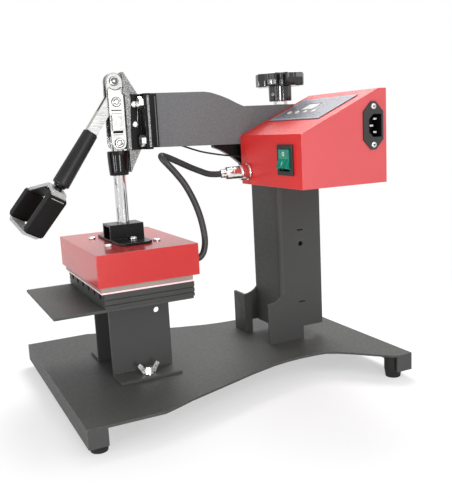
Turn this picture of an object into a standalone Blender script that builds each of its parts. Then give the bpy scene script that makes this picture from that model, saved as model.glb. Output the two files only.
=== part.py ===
"""Pen heat press with a swing-away arm, a toggle lever and a hanging control box.

Metres, +Z up. +Y points to the back of the press, the operator stands at -Y,
and +X is the press's right-hand side. While it is being drawn the base is centred
on X = Y = 0; at the end everything moves along Y so that the whole press, cable
left out, is centred on the origin. The floor is Z = 0.
"""
import math

import bmesh
import bpy
from mathutils import Matrix, Vector

for old in list(bpy.data.objects):
    bpy.data.objects.remove(old, do_unlink=True)

# Clearances and overruns shared by all pieces
GAP = 0.0003
RUN = 0.00006
OVER = 0.002
WELD = 0.0004
SHARP_ANGLE = math.radians(35.0)

# Base plate
BASE_WIDTH = 0.300
BASE_LENGTH = 0.380
BASE_TOP = 0.030
BASE_SHEET = 0.0025
FLANGE_HEIGHT = 0.020
RETURN_LENGTH = 0.020
WAIST_WIDTH = 0.181
WAIST_Y = 0.078
# share of the half length, and share of the way from the waist to the full half width
SIDE_SHARES = (
    (-1.0, 1.0), (-0.59, 1.0), (-0.50, 0.88), (-0.415, 0.755), (-0.142, 0.445),
    (0.04, 0.235), (0.21, 0.075), (0.316, 0.02), (0.41, 0.0), (0.505, 0.01),
    (0.58, 0.04), (0.65, 0.19), (0.715, 0.39), (0.79, 0.66), (0.87, 0.93),
    (0.91, 1.0), (1.0, 1.0),
)

# Rubber feet
FOOT_TOP_RADIUS = 0.0100
FOOT_BOTTOM_RADIUS = 0.0085
FOOT_INSET_X = 0.0165
FOOT_INSET_Y = 0.0138

# Column
COLUMN_WIDTH = 0.068
COLUMN_FRONT = 0.087
COLUMN_DEPTH = 0.059
COLUMN_SHEET = 0.003
COLUMN_TOP = 0.226
COLUMN_CORNER = 0.005
COLUMN_LIP = 0.014
COLUMN_FOOT_GAP = 0.016
FLARE_REACH = 0.018
FLARE_TOP = 0.098
FLARE_FULL = 0.081
FLARE_STEPS = 6
NEAR_TAB_LENGTH = 0.049
FAR_TAB_LENGTH = 0.011
FAR_FLANGE_WIDTH = 0.026
COLUMN_HOLE_RADIUS = 0.0033
COLUMN_HOLE_HEIGHT = 0.151
COLUMN_HOLE_BACK = 0.030
COLUMN_SLOT_LENGTH = 0.009
COLUMN_SLOT_HEIGHT = 0.0018
COLUMN_SLOT_HEIGHTS = (0.078, 0.168)
CAP_THICKNESS = 0.004

# Pivot post, hub, washer and clamping knob
PIVOT_Y = 0.116
POST_RADIUS = 0.0090
STUD_RADIUS = 0.0060
STUD_TOP = 0.342
WASHER_RADIUS = 0.0170
THRUST_THICKNESS = 0.0020
HUB_RADIUS = 0.0130
NUT_FLATS_RADIUS = 0.0085
NUT_HEIGHT = 0.0036
KNOB_HUB_RADIUS = 0.0140
KNOB_HUB_HEIGHT = 0.0175
KNOB_HEAD_HEIGHT = 0.0155
KNOB_RADIUS = 0.0293
KNOB_VALLEY_RADIUS = 0.0225
KNOB_LOBES = 7
KNOB_LOBE_SHARE = 0.62
KNOB_STEPS_PER_LOBE = 8
KNOB_RECESS_RADIUS = 0.0150
KNOB_RECESS_DEPTH = 0.0040

# Swing arm
ARM_WIDTH = 0.026
ARM_WALL = 0.003
ARM_FRONT = -0.0604
ARM_BACK = 0.146
ARM_TOP = 0.337
ARM_REAR_TOP = 0.3193
ARM_BOTTOM_FRONT = 0.278
ARM_BOTTOM_BACK = 0.2735
ARM_SHOULDER = 0.008
ARM_DIP = 0.058
# share of the run from shoulder to dip, and share of the drop
DIP_SHARES = ((0.0, 0.0), (0.18, 0.07), (0.40, 0.26), (0.62, 0.50), (0.82, 0.78), (1.0, 1.0))
GUSSET_THICKNESS = 0.008
GUSSET_FRONT = 0.021
GUSSET_DEPTH = 0.040
# share of the gusset's depth below the arm, and share of the run back to the hub
GUSSET_SHARES = ((0.0, 0.0), (0.10, 0.12), (0.29, 0.28), (0.52, 0.42), (0.80, 0.50), (1.0, 0.53))

# End plate and front bracket
PLATE_WIDTH = 0.048
PLATE_HEIGHT = 0.060
PLATE_BOTTOM = 0.2765
END_PLATE_THICKNESS = 0.0043
BRACKET_THICKNESS = 0.0030
EAR_THICKNESS = 0.0030
EAR_REACH = 0.0120
HEX_BOLT_OFFSET_X = 0.0180
HEX_BOLT_OFFSET_Z = 0.0205
HEX_HEAD_RADIUS = 0.0064
HEX_HEAD_HEIGHT = 0.0050
HEX_SHANK_RADIUS = 0.0028
HEX_SHANK_DEPTH = 0.0055
CLASP_LENGTH = 0.0100
CLASP_THICKNESS = 0.0030
EAR_BOLT_BACK = 0.0065
EAR_BOLT_HEIGHTS = (0.3255, 0.3040)
EAR_BOLT_RADIUS = 0.0038
EAR_BOLT_HEAD = 0.0020
EAR_SHANK_RADIUS = 0.0020

# Toggle clamp
TOGGLE_Y = -0.0945
TOP_PIVOT_Z = 0.351
CRANK = 0.022
LINK_LENGTH = 0.044
FRAME_THICKNESS = 0.012
FRAME_EAR_THICKNESS = 0.006
FRAME_EAR_RADIUS = 0.0080
FRAME_HEAD_TOP = 0.0095
FRAME_HEAD_BACK = 0.0110
FRAME_WEB = 0.0090
FRAME_SLOPE_DROP = 0.0145
FRAME_TAIL_DROP = 0.0239
FRAME_BODY_RISE = 0.0015
CHEEK_THICKNESS = 0.0030
CHEEK_RADIUS = 0.0088
CHEEK_STEPS = 12
PIN_RADIUS = 0.0035
PIN_HEAD_RADIUS = 0.0052
PIN_HEAD = 0.0016
LINK_THICKNESS = 0.0026
LINK_WIDTH = 0.0165
LINK_BLOCK = 0.0032
LINK_BLOCK_LENGTH = 0.0170
LINK_BLOCK_WIDTH = 0.0135
LINK_SCREW_HEAD_RADIUS = 0.0048
LINK_SHOULDER = 0.0060
LINK_REACH = 0.0158
LINK_HORN_SHARE = 0.92

# Plunger, guide sleeve and head
ROD_RADIUS = 0.0070
SLEEVE_TOP = 0.2764
SLEEVE_BOTTOM = 0.2495
SLEEVE_TOP_RADIUS = 0.0118
SLEEVE_BOTTOM_RADIUS = 0.0106
TONGUE_ABOVE = 0.0072
TONGUE_BELOW = 0.0075
TONGUE_THICKNESS = 0.0122
BLOCK_WIDTH = 0.028
BLOCK_FRONT = 0.020
BLOCK_BACK = 0.019
BLOCK_HEIGHT = 0.0165
BLOCK_WALL = 0.0025
ROD_NUT_RADIUS = 0.0110
ROD_NUT_HEIGHT = 0.0060
BRACKET_PLATE_WIDTH = 0.094
BRACKET_PLATE_FRONT = 0.0195
BRACKET_PLATE_BACK = 0.0185
BRACKET_PLATE_THICKNESS = 0.0025
BRACKET_PLATE_CORNER = 0.006
PLATE_SCREW_X = 0.0200
PLATE_SCREW_AHEAD = -0.004
HEAD_FRONT = -0.150
HEAD_BACK = -0.039
HEAD_TOP = 0.1770
COVER_BOTTOM = 0.1430
COVER_WALL = 0.0015
HEATER_INSET = 0.0032
HEATER_SIDE_OVERHANG = 0.0008
HEATER_INSET_BACK = 0.0070
HEATER_BOTTOM = 0.1379
HEATER_TOP = 0.1530
PAD_BOTTOM = 0.1357
SCREW_X = 0.033
SCREW_FRONT = 0.0285
SCREW_BACK = 0.0265
SCREW_HEAD_RADIUS = 0.0042
SCREW_HEAD_HEIGHT = 0.0024
SCREW_SHANK_RADIUS = 0.0020
SCREW_DEPTH = 0.0080
SCREW_DOME_SHARE = 0.65
GLAND_RADIUS = 0.0065
GLAND_NECK_RADIUS = 0.0043
GLAND_LENGTH = 0.0030
GLAND_Z = 0.1560
GLAND_X = 0.0600

# Platen, shelf and pedestal
PLATEN_WIDTH = 0.154
PLATEN_FRONT = -0.1435
PLATEN_BACK = -0.0445
PLATEN_TOP = 0.1354
PLATEN_STEP = 0.0018
GROOVE_RADIUS = 0.0049
GROOVE_RISE = 0.0002
GROOVE_PITCH = 0.0236
GROOVE_COUNT = 6
GROOVE_STEPS = 8
# heights of the side ribs, from the bottom of the platen, as shares of its height
RIB_SHARES = ((0.0, 0.22), (0.30, 0.57), (0.65, 1.0))
SHELF_WIDTH = 0.150
SHELF_FRONT = -0.196
SHELF_BACK = -0.0450
SHELF_TOP = 0.1192
SHELF_THICKNESS = 0.0030
PEDESTAL_WIDTH = 0.064
PEDESTAL_FRONT = -0.129
PEDESTAL_BACK = -0.059
PEDESTAL_SHEET = 0.0030
PEDESTAL_FOOT = 0.0300
PEDESTAL_HOLE_RADIUS = 0.0033
PEDESTAL_HOLE_Z = 0.0985
PEDESTAL_HOLE_BACK = 0.0148
WING_X = 0.0505
WING_Y = -0.094
WING_SHANK_RADIUS = 0.0030
WING_HUB_RADIUS = 0.0052
WING_HUB_HEIGHT = 0.0075
WING_SPAN = 0.0125
WING_RISE = 0.0110
WING_SHEET = 0.0022
WING_SHANK_PROUD = 0.0050
WING_NECK_SHARE = 0.75
# wing outline: share of the span out, and share of the rise up
WING_SHARES = ((0.0, 0.0), (0.55, 0.0), (1.0, 0.85), (0.95, 1.0), (0.72, 1.1), (0.25, 0.40))

# Lever, grip and stirrup
HANDLE_SLOPE = math.radians(54.4)
HANDLE_OFFSET = 0.0045
BAR_START = 0.0110
BAR_WIDTH = 0.0120
GRIP_START = 0.0397
GRIP_LENGTH = 0.0681
GRIP_TOP_RADIUS = 0.0082
GRIP_END_RADIUS = 0.0095
CORE_RADIUS = 0.0055
STIRRUP_SLOPE = math.radians(60.6)
STIRRUP_TWIST = math.radians(-16.2)
STIRRUP_LEAN = math.radians(20.4)
STIRRUP_NEAR = 0.0116
STIRRUP_FAR = 0.0376
STIRRUP_STRIP = 0.0174
STIRRUP_WALL = 0.0034
STIRRUP_NECK = 0.0160
STIRRUP_START = 0.0048
STIRRUP_NEAR_SHOULDER = 0.0030
STIRRUP_FAR_SHOULDER = 0.0245
STIRRUP_NEAR_LENGTH = 0.0612
STIRRUP_FAR_LENGTH = 0.0680
STIRRUP_CORNER = 0.0040
HAND_PAD_WALL = 0.0022
NEAR_PAD_START = 0.0050
NEAR_PAD_LENGTH = 0.0505
FAR_PAD_START = 0.0268
FAR_PAD_LENGTH = 0.0356
STIRRUP_BOLT_RADIUS = 0.0030
STIRRUP_BOLT_DEPTH = 0.0100
STIRRUP_BALL_RADIUS = 0.0052
STIRRUP_BALL_STEPS = 8

# Control box
BOX_LEFT = 0.0156
BOX_RIGHT = 0.1470
BOX_FRONT = 0.0516
BOX_BACK = 0.1589
BOX_BOTTOM = 0.2288
BOX_FRONT_TOP = 0.2854
BOX_TOP = 0.3285
BOX_FLAT = 0.0100
BOX_WALL = 0.0015
PANEL_THICKNESS = 0.0008
PANEL_MARGIN_LEFT = 0.0104
PANEL_MARGIN_RIGHT = 0.0165
PANEL_MARGIN_LOW = 0.0350
PANEL_MARGIN_HIGH = 0.0154
DISPLAY_WIDTH = 0.0220
DISPLAY_HEIGHT = 0.0140
DISPLAY_LOW = 0.0260
DISPLAY_RIGHT = 0.0480
BUTTON_RADIUS = 0.0028
BUTTON_HEIGHT = 0.0044
BUTTON_PROUD = 0.0010
BUTTON_PITCH = 0.0168
BUTTON_BELOW = 0.0070
BUTTON_COUNT = 4
BUTTON_CLEAR = 0.0003
BOARD_THICKNESS = 0.0016
BOARD_DEPTH = 0.0068
BOARD_MARGIN = 0.012
BOARD_POST_RADIUS = 0.0022
BOARD_POST_INSET = 0.006

# Rocker switch
SWITCH_X = 0.1165
SWITCH_Z = 0.2588
BEZEL_WIDTH = 0.0305
BEZEL_HEIGHT = 0.0325
BEZEL_DEPTH = 0.0022
SWITCH_BODY_WIDTH = 0.0255
SWITCH_BODY_HEIGHT = 0.0285
SWITCH_BODY_DEPTH = 0.0200
ROCKER_WIDTH = 0.0205
ROCKER_HEIGHT = 0.0215
ROCKER_POCKET_DEPTH = 0.0100
ROCKER_PROUD = 0.0035
ROCKER_TILT = math.radians(12.0)
ROCKER_CLEAR = 0.0006
ROCKER_DRAFT = 0.0010

# Mains inlet
INLET_Y = 0.1405
INLET_Z = 0.2897
INLET_LENGTH = 0.0500
INLET_WIDTH = 0.0255
INLET_TIP_WIDTH = 0.0060
INLET_FLAT = 0.0290
INLET_FLANGE = 0.0018
INLET_BODY_LENGTH = 0.0270
INLET_BODY_WIDTH = 0.0195
INLET_BODY_DEPTH = 0.0190
SOCKET_LENGTH = 0.0240
SOCKET_WIDTH = 0.0165
SOCKET_CORNER = 0.0055
SOCKET_DEPTH = 0.0160
SOCKET_SHIFT = 0.0022
INLET_SCREW_PITCH = 0.0400
INLET_SCREW_RADIUS = 0.0016
INLET_SCREW_HEAD_RADIUS = 0.0030
INLET_SCREW_HEAD = 0.0009
BLADE_LENGTH = 0.0115
BLADE_WIDTH = 0.0040
BLADE_THICKNESS = 0.0020
BLADE_PITCH = 0.0070
BLADE_EARTH_OFFSET = 0.0035

# Connector and cable
CONNECTOR_X = 0.0315
CONNECTOR_Z = 0.2438
SOCKET_FLANGE_RADIUS = 0.0095
SOCKET_FLANGE = 0.0030
SOCKET_BODY_RADIUS = 0.0075
SOCKET_BODY_DEPTH = 0.0120
PLUG_RING_RADIUS = 0.0092
PLUG_RING_LENGTH = 0.0090
PLUG_BODY_RADIUS = 0.0072
PLUG_BODY_LENGTH = 0.0180
PLUG_TAIL_RADIUS = 0.0050
PLUG_TAIL_LENGTH = 0.0070
CABLE_DIAMETER = 0.0070
CABLE_STEP = 0.0140
WIRE_DIAMETER = 0.0020
CURVE_STEPS = 40


def material(name, colour, roughness, metallic=0.0):
    mat = bpy.data.materials.new(name)
    mat.use_nodes = True
    shader = mat.node_tree.nodes["Principled BSDF"]
    shader.inputs["Base Color"].default_value = (*colour, 1.0)
    shader.inputs["Roughness"].default_value = roughness
    shader.inputs["Metallic"].default_value = metallic
    return mat


COAT = {
    "black": ((0.045, 0.046, 0.045), 0.55, 0.0),
    "red": ((0.62, 0.035, 0.03), 0.35, 0.0),
    "hammer": ((0.30, 0.30, 0.30), 0.45, 0.5),
    "chrome": ((0.80, 0.80, 0.80), 0.15, 1.0),
    "zinc": ((0.70, 0.70, 0.68), 0.30, 1.0),
    "rubber": ((0.02, 0.02, 0.02), 0.70, 0.0),
    "plastic": ((0.03, 0.03, 0.03), 0.40, 0.0),
    "grey": ((0.50, 0.50, 0.50), 0.40, 0.3),
    "aluminium": ((0.65, 0.64, 0.62), 0.40, 1.0),
    "silicone": ((0.80, 0.66, 0.64), 0.60, 0.0),
    "green": ((0.01, 0.33, 0.20), 0.25, 0.0),
    "panel": ((0.22, 0.27, 0.33), 0.35, 0.0),
    "white": ((0.85, 0.85, 0.82), 0.40, 0.0),
}


def node(name, bm, coat, place=(0.0, 0.0, 0.0), smooth=False):
    """Turn a bmesh into a named object whose origin sits at place."""
    mesh = bpy.data.meshes.new(name)
    bmesh.ops.recalc_face_normals(bm, faces=bm.faces)
    bmesh.ops.translate(bm, verts=bm.verts, vec=-Vector(place))
    bm.to_mesh(mesh)
    bm.free()
    obj = bpy.data.objects.new(name, mesh)
    obj.location = place
    bpy.context.collection.objects.link(obj)
    mesh.materials.append(material(name, *COAT[coat]))
    if smooth:
        mesh.shade_smooth()
        mesh.set_sharp_from_angle(angle=SHARP_ANGLE)
    return obj


def frame_of(axis):
    """Two in-plane axes and the normal of an outline drawn across an axis."""
    return {
        "X": (Vector((0, 1, 0)), Vector((0, 0, 1)), Vector((1, 0, 0))),
        "Y": (Vector((1, 0, 0)), Vector((0, 0, 1)), Vector((0, 1, 0))),
        "Z": (Vector((1, 0, 0)), Vector((0, 1, 0)), Vector((0, 0, 1))),
    }[axis]


def prism(points, axis, low, high, turn=None):
    """Extrude a closed outline across an axis from low to high."""
    u, v, w = frame_of(axis)
    bm = bmesh.new()
    ring = [bm.verts.new(u * a + v * b + w * low) for a, b in points]
    face = bm.faces.new(ring)
    out = bmesh.ops.extrude_face_region(bm, geom=[face])
    moved = [item for item in out["geom"] if isinstance(item, bmesh.types.BMVert)]
    bmesh.ops.translate(bm, verts=moved, vec=w * (high - low))
    if turn is not None:
        bmesh.ops.transform(bm, matrix=turn, verts=bm.verts)
    return bm


def box(low, high):
    """A rectangular block between two corners."""
    (x0, y0, z0), (x1, y1, z1) = low, high
    return prism([(x0, y0), (x1, y0), (x1, y1), (x0, y1)], "Z", z0, z1)


def turned(profile, axis, centre, segments=24, phase=0.0):
    """Spin a closed profile of (radius, height) points round an axis."""
    u, v, w = frame_of(axis)
    bm = bmesh.new()
    rings = []
    for radius, height in profile:
        if radius == 0:
            rings.append([bm.verts.new(Vector(centre) + w * height)])
            continue
        ring = []
        for k in range(segments):
            a = phase + 2.0 * math.pi * k / segments
            ring.append(bm.verts.new(
                Vector(centre) + (u * math.cos(a) + v * math.sin(a)) * radius + w * height))
        rings.append(ring)
    closed = profile[0][0] != 0
    pairs = list(zip(rings, rings[1:] + rings[:1])) if closed else list(zip(rings, rings[1:]))
    for first, second in pairs:
        for k in range(segments):
            n = (k + 1) % segments
            corners = [first[k % len(first)], first[n % len(first)],
                       second[n % len(second)], second[k % len(second)]]
            unique = list(dict.fromkeys(corners))
            if len(unique) > 2:
                bm.faces.new(unique)
    return bm


def rod(radius, low, high):
    """Profile of a plain round bar."""
    return [(0, low), (radius, low), (radius, high), (0, high)]


def tube(outer, inner, low, high):
    """Profile of a ring or bush."""
    return [(inner, low), (outer, low), (outer, high), (inner, high)]


def arc(centre, radius, start, end, steps):
    """Points along an arc, both ends included."""
    return [(centre[0] + radius * math.cos(start + (end - start) * k / steps),
             centre[1] + radius * math.sin(start + (end - start) * k / steps))
            for k in range(steps + 1)]


def helper(name, bm):
    """A cutter or a piece to be joined, kept in the file but not part of the press."""
    mesh = bpy.data.meshes.new(name)
    bmesh.ops.recalc_face_normals(bm, faces=bm.faces)
    bm.to_mesh(mesh)
    bm.free()
    obj = bpy.data.objects.new(name, mesh)
    bpy.context.collection.objects.link(obj)
    obj.hide_render = True
    obj.display_type = "WIRE"
    return obj


def boolean(obj, operation, *shapes):
    """Cut shapes from an object or join them to it."""
    for shape in shapes:
        tool = helper(obj.name + "_tool", shape)
        mod = obj.modifiers.new("Boolean", "BOOLEAN")
        mod.operation = operation
        mod.object = tool
        mod.solver = "EXACT"
    return obj


def rectangle(u0, u1, v0, v1):
    return [(u0, v0), (u1, v0), (u1, v1), (u0, v1)]


# Base plate: an hourglass sheet with a turned-down flange at each end
half_w = BASE_WIDTH / 2
half_l = BASE_LENGTH / 2
waist = WAIST_WIDTH / 2
side = [(waist + (half_w - waist) * w, half_l * y) for y, w in SIDE_SHARES]
outline = side + [(-x, y) for x, y in reversed(side)]
sheet_bottom = BASE_TOP - BASE_SHEET
flange_bottom = BASE_TOP - FLANGE_HEIGHT
base = node("base_plate", prism(outline, "Z", sheet_bottom, BASE_TOP), "black")
for end in (-1, 1):
    hook = [(-half_w, end * half_l), (half_w, end * half_l),
            (half_w, end * (half_l - RETURN_LENGTH)),
            (half_w - BASE_SHEET, end * (half_l - RETURN_LENGTH)),
            (half_w - BASE_SHEET, end * (half_l - BASE_SHEET)),
            (-half_w + BASE_SHEET, end * (half_l - BASE_SHEET)),
            (-half_w + BASE_SHEET, end * (half_l - RETURN_LENGTH)),
            (-half_w, end * (half_l - RETURN_LENGTH))]
    boolean(base, "UNION", prism(hook, "Z", flange_bottom, sheet_bottom + BASE_SHEET / 2))
for sx in (-1, 1):
    boolean(base, "DIFFERENCE", turned(
        rod(WING_SHANK_RADIUS + GAP, sheet_bottom - OVER, BASE_TOP + OVER),
        "Z", (sx * WING_X, WING_Y, 0), 16))

for tag, sx, sy in (("fl", -1, -1), ("fr", 1, -1), ("rl", -1, 1), ("rr", 1, 1)):
    spot = (sx * (half_w - FOOT_INSET_X), sy * (half_l - FOOT_INSET_Y), 0)
    node("foot_" + tag, turned(
        [(0, 0), (FOOT_BOTTOM_RADIUS, 0), (FOOT_TOP_RADIUS, flange_bottom),
         (FOOT_TOP_RADIUS, sheet_bottom - GAP), (0, sheet_bottom - GAP)],
        "Z", spot, 20), "rubber", spot, True)

# Column: a lipped channel, web to the front, side plates flared forward at the foot
col_half = COLUMN_WIDTH / 2
col_back = COLUMN_FRONT + COLUMN_DEPTH
col_foot = BASE_TOP + COLUMN_FOOT_GAP
lip_front = col_back - COLUMN_SHEET
plan = [(-col_half, col_back), (-col_half, COLUMN_FRONT + COLUMN_CORNER)]
plan += arc((-col_half + COLUMN_CORNER, COLUMN_FRONT + COLUMN_CORNER), COLUMN_CORNER,
            math.pi, 1.5 * math.pi, 3)[1:]
plan += arc((col_half - COLUMN_CORNER, COLUMN_FRONT + COLUMN_CORNER), COLUMN_CORNER,
            1.5 * math.pi, 2.0 * math.pi, 3)
plan += [(col_half, col_back), (col_half - COLUMN_LIP, col_back), (col_half - COLUMN_LIP, lip_front),
         (col_half - COLUMN_SHEET, lip_front)]
inner_corner = COLUMN_CORNER - COLUMN_SHEET
plan += arc((col_half - COLUMN_CORNER, COLUMN_FRONT + COLUMN_CORNER), inner_corner,
            2.0 * math.pi, 1.5 * math.pi, 2)
plan += arc((-col_half + COLUMN_CORNER, COLUMN_FRONT + COLUMN_CORNER), inner_corner,
            1.5 * math.pi, math.pi, 2)
plan += [(-col_half + COLUMN_SHEET, lip_front), (-col_half + COLUMN_LIP, lip_front),
         (-col_half + COLUMN_LIP, col_back)]
column = node("column", prism(plan, "Z", col_foot, COLUMN_TOP), "black")


def flare(tab_end):
    """Side view of one foot: forward flare above, tab down to the base below."""
    tip = COLUMN_FRONT - FLARE_REACH
    inside = COLUMN_FRONT + COLUMN_CORNER + COLUMN_SHEET
    curve = [(COLUMN_FRONT + COLUMN_CORNER - (COLUMN_FRONT + COLUMN_CORNER - tip)
              * (1.0 - math.cos(0.5 * math.pi * k / FLARE_STEPS)),
              FLARE_TOP - (FLARE_TOP - FLARE_FULL) * math.sin(0.5 * math.pi * k / FLARE_STEPS))
             for k in range(FLARE_STEPS + 1)]
    return [(inside, FLARE_TOP)] + curve + [
        (tip, BASE_TOP + GAP), (tab_end, BASE_TOP + GAP),
        (tab_end, col_foot), (max(inside, tab_end), col_foot), (max(inside, tab_end), FLARE_FULL),
        (inside, FLARE_FULL)]


flare_tip = COLUMN_FRONT - FLARE_REACH
boolean(column, "UNION",
        prism(flare(flare_tip + NEAR_TAB_LENGTH), "X", col_half - COLUMN_SHEET, col_half),
        prism(flare(flare_tip + FAR_TAB_LENGTH), "X", -col_half, -col_half + COLUMN_SHEET),
        box((-col_half - FAR_FLANGE_WIDTH, flare_tip, BASE_TOP + GAP),
            (-col_half + COLUMN_SHEET / 2, flare_tip + COLUMN_SHEET, FLARE_FULL)))
hole_y = COLUMN_FRONT + COLUMN_HOLE_BACK
boolean(column, "DIFFERENCE", turned(
    rod(COLUMN_HOLE_RADIUS, col_half - COLUMN_SHEET - OVER, col_half + OVER),
    "X", (0, hole_y, COLUMN_HOLE_HEIGHT), 12))
for height in COLUMN_SLOT_HEIGHTS:
    boolean(column, "DIFFERENCE", box(
        (col_half - COLUMN_SHEET - OVER, hole_y - COLUMN_SLOT_LENGTH / 2, height - COLUMN_SLOT_HEIGHT / 2),
        (col_half + OVER, hole_y + COLUMN_SLOT_LENGTH / 2, height + COLUMN_SLOT_HEIGHT / 2)))

cap_half = col_half - COLUMN_SHEET / 2
boolean(column, "UNION", box(
    (-cap_half, COLUMN_FRONT + COLUMN_SHEET / 2, COLUMN_TOP - CAP_THICKNESS),
    (cap_half, col_back, COLUMN_TOP - WELD)))

# Pivot post on the column cap: a collar under the hub and a nut locked on its stud
pivot = (0, PIVOT_Y, 0)
arm_web = ARM_REAR_TOP - ARM_WALL
hub_low = COLUMN_TOP + GAP + THRUST_THICKNESS + GAP
collar_top = COLUMN_TOP + GAP + THRUST_THICKNESS
post = node("pivot_post", turned(
    [(0, COLUMN_TOP + GAP), (WASHER_RADIUS, COLUMN_TOP + GAP), (WASHER_RADIUS, collar_top),
     (POST_RADIUS, collar_top), (POST_RADIUS, arm_web - GAP),
     (STUD_RADIUS, arm_web - GAP), (STUD_RADIUS, STUD_TOP), (0, STUD_TOP)],
    "Z", pivot, 32), "zinc", pivot, True)

# Hub tube under the arm with its curved gusset
hub = node("arm_hub", turned(
    tube(HUB_RADIUS, POST_RADIUS + RUN, hub_low, ARM_BOTTOM_BACK - GAP), "Z", pivot, 32), "black", pivot)
gusset_low = ARM_BOTTOM_BACK - GUSSET_DEPTH
hub_front = PIVOT_Y - HUB_RADIUS
weld_y = PIVOT_Y - (HUB_RADIUS + POST_RADIUS) / 2
gusset = [(GUSSET_FRONT + (hub_front - GUSSET_FRONT) * run, ARM_BOTTOM_BACK - GAP - GUSSET_DEPTH * drop)
          for drop, run in GUSSET_SHARES]
gusset += [(weld_y, gusset[-1][1]), (weld_y, ARM_BOTTOM_BACK - GAP)]
boolean(hub, "UNION", prism(gusset, "X", -GUSSET_THICKNESS / 2, GUSSET_THICKNESS / 2))

# Arm: a channel open below, high at the front and lower over the column
arm_half = ARM_WIDTH / 2
drop = ARM_TOP - ARM_REAR_TOP
top_line = [(ARM_SHOULDER + (ARM_DIP - ARM_SHOULDER) * run, ARM_TOP - drop * fall)
            for run, fall in DIP_SHARES]
arm_side = [(ARM_FRONT, ARM_BOTTOM_FRONT), (ARM_FRONT, ARM_TOP)] + top_line
arm_side += [(ARM_BACK, ARM_REAR_TOP), (ARM_BACK, ARM_BOTTOM_BACK)]
arm = node("arm", prism(arm_side, "X", -arm_half, arm_half), "hammer", pivot)
inside = [(ARM_FRONT + ARM_WALL, ARM_BOTTOM_FRONT - OVER), (ARM_FRONT + ARM_WALL, ARM_TOP - ARM_WALL)]
inside += [(y, z - ARM_WALL) for y, z in top_line]
inside += [(ARM_BACK - ARM_WALL, ARM_REAR_TOP - ARM_WALL), (ARM_BACK - ARM_WALL, ARM_BOTTOM_BACK - OVER)]
boolean(arm, "DIFFERENCE",
        prism(inside, "X", -arm_half + ARM_WALL, arm_half - ARM_WALL),
        turned(rod(STUD_RADIUS + GAP, arm_web - OVER, ARM_REAR_TOP + OVER), "Z", pivot, 24))

# Nut and star knob that clamp the arm on its post
nut_low = ARM_REAR_TOP + GAP
nut_top = nut_low + NUT_HEIGHT
boolean(post, "UNION", turned(tube(NUT_FLATS_RADIUS, STUD_RADIUS - WELD, nut_low, nut_top), "Z", pivot, 6))
knob_low = nut_top + GAP
knob_mid = knob_low + KNOB_HUB_HEIGHT
knob_top = knob_mid + KNOB_HEAD_HEIGHT
star = []
star_steps = KNOB_STEPS_PER_LOBE * KNOB_LOBES
for k in range(star_steps):
    a = 2.0 * math.pi * k / star_steps
    wave = 0.5 + 0.5 * math.cos(KNOB_LOBES * a)
    reach = KNOB_VALLEY_RADIUS + (KNOB_RADIUS - KNOB_VALLEY_RADIUS) * min(1.0, wave / KNOB_LOBE_SHARE)
    star.append((reach * math.cos(a), PIVOT_Y + reach * math.sin(a)))
knob = node("clamp_knob", prism(star, "Z", knob_mid, knob_top), "plastic", pivot, True)
boolean(knob, "UNION", turned(
    rod(KNOB_HUB_RADIUS, knob_low, knob_mid + KNOB_HEAD_HEIGHT / 2), "Z", pivot, 28))
boolean(knob, "DIFFERENCE",
        turned(rod(STUD_RADIUS + RUN, knob_low - OVER, STUD_TOP + GAP), "Z", pivot, 28),
        turned(rod(KNOB_RECESS_RADIUS, knob_top - KNOB_RECESS_DEPTH, knob_top + OVER), "Z", pivot, 32))

# Black front bracket: a thick plate on the arm's end, with two ears for the toggle casting
plate_half = PLATE_WIDTH / 2
plate_top = PLATE_BOTTOM + PLATE_HEIGHT
bracket_back = ARM_FRONT - GAP
bracket_front = bracket_back - END_PLATE_THICKNESS - BRACKET_THICKNESS
frame_half = FRAME_THICKNESS / 2
ear_inner = frame_half + GAP
bracket = node("front_bracket", box(
    (-plate_half, bracket_front, PLATE_BOTTOM), (plate_half, bracket_back, plate_top)), "black")
for sx in (-1, 1):
    xs = sorted((sx * ear_inner, sx * (ear_inner + EAR_THICKNESS)))
    clasp = sorted((sx * (arm_half + GAP), sx * (arm_half + GAP + CLASP_THICKNESS)))
    boolean(bracket, "UNION",
            box((xs[0], bracket_front - EAR_REACH, PLATE_BOTTOM), (xs[1], bracket_back - WELD, plate_top)),
            box((clasp[0], bracket_back - WELD, ARM_BOTTOM_FRONT),
                (clasp[1], bracket_back + CLASP_LENGTH, plate_top - WELD)))
plate_mid = (PLATE_BOTTOM + plate_top) / 2
shank_end = bracket_front + HEX_SHANK_DEPTH
for tag, sx, sz in (("ul", -1, 1), ("ur", 1, 1), ("ll", -1, -1), ("lr", 1, -1)):
    x = sx * HEX_BOLT_OFFSET_X
    z = plate_mid + sz * HEX_BOLT_OFFSET_Z
    boolean(bracket, "DIFFERENCE", turned(
        rod(HEX_SHANK_RADIUS + GAP, bracket_front - OVER, shank_end + GAP), "Y", (x, 0, z), 12))
    head = bracket_front - GAP
    node("hex_bolt_" + tag, turned(
        [(0, head - HEX_HEAD_HEIGHT), (HEX_HEAD_RADIUS, head - HEX_HEAD_HEIGHT), (HEX_HEAD_RADIUS, head),
         (HEX_SHANK_RADIUS, head), (HEX_SHANK_RADIUS, shank_end), (0, shank_end)],
        "Y", (x, 0, z), 6, math.pi / 6), "zinc")

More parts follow.
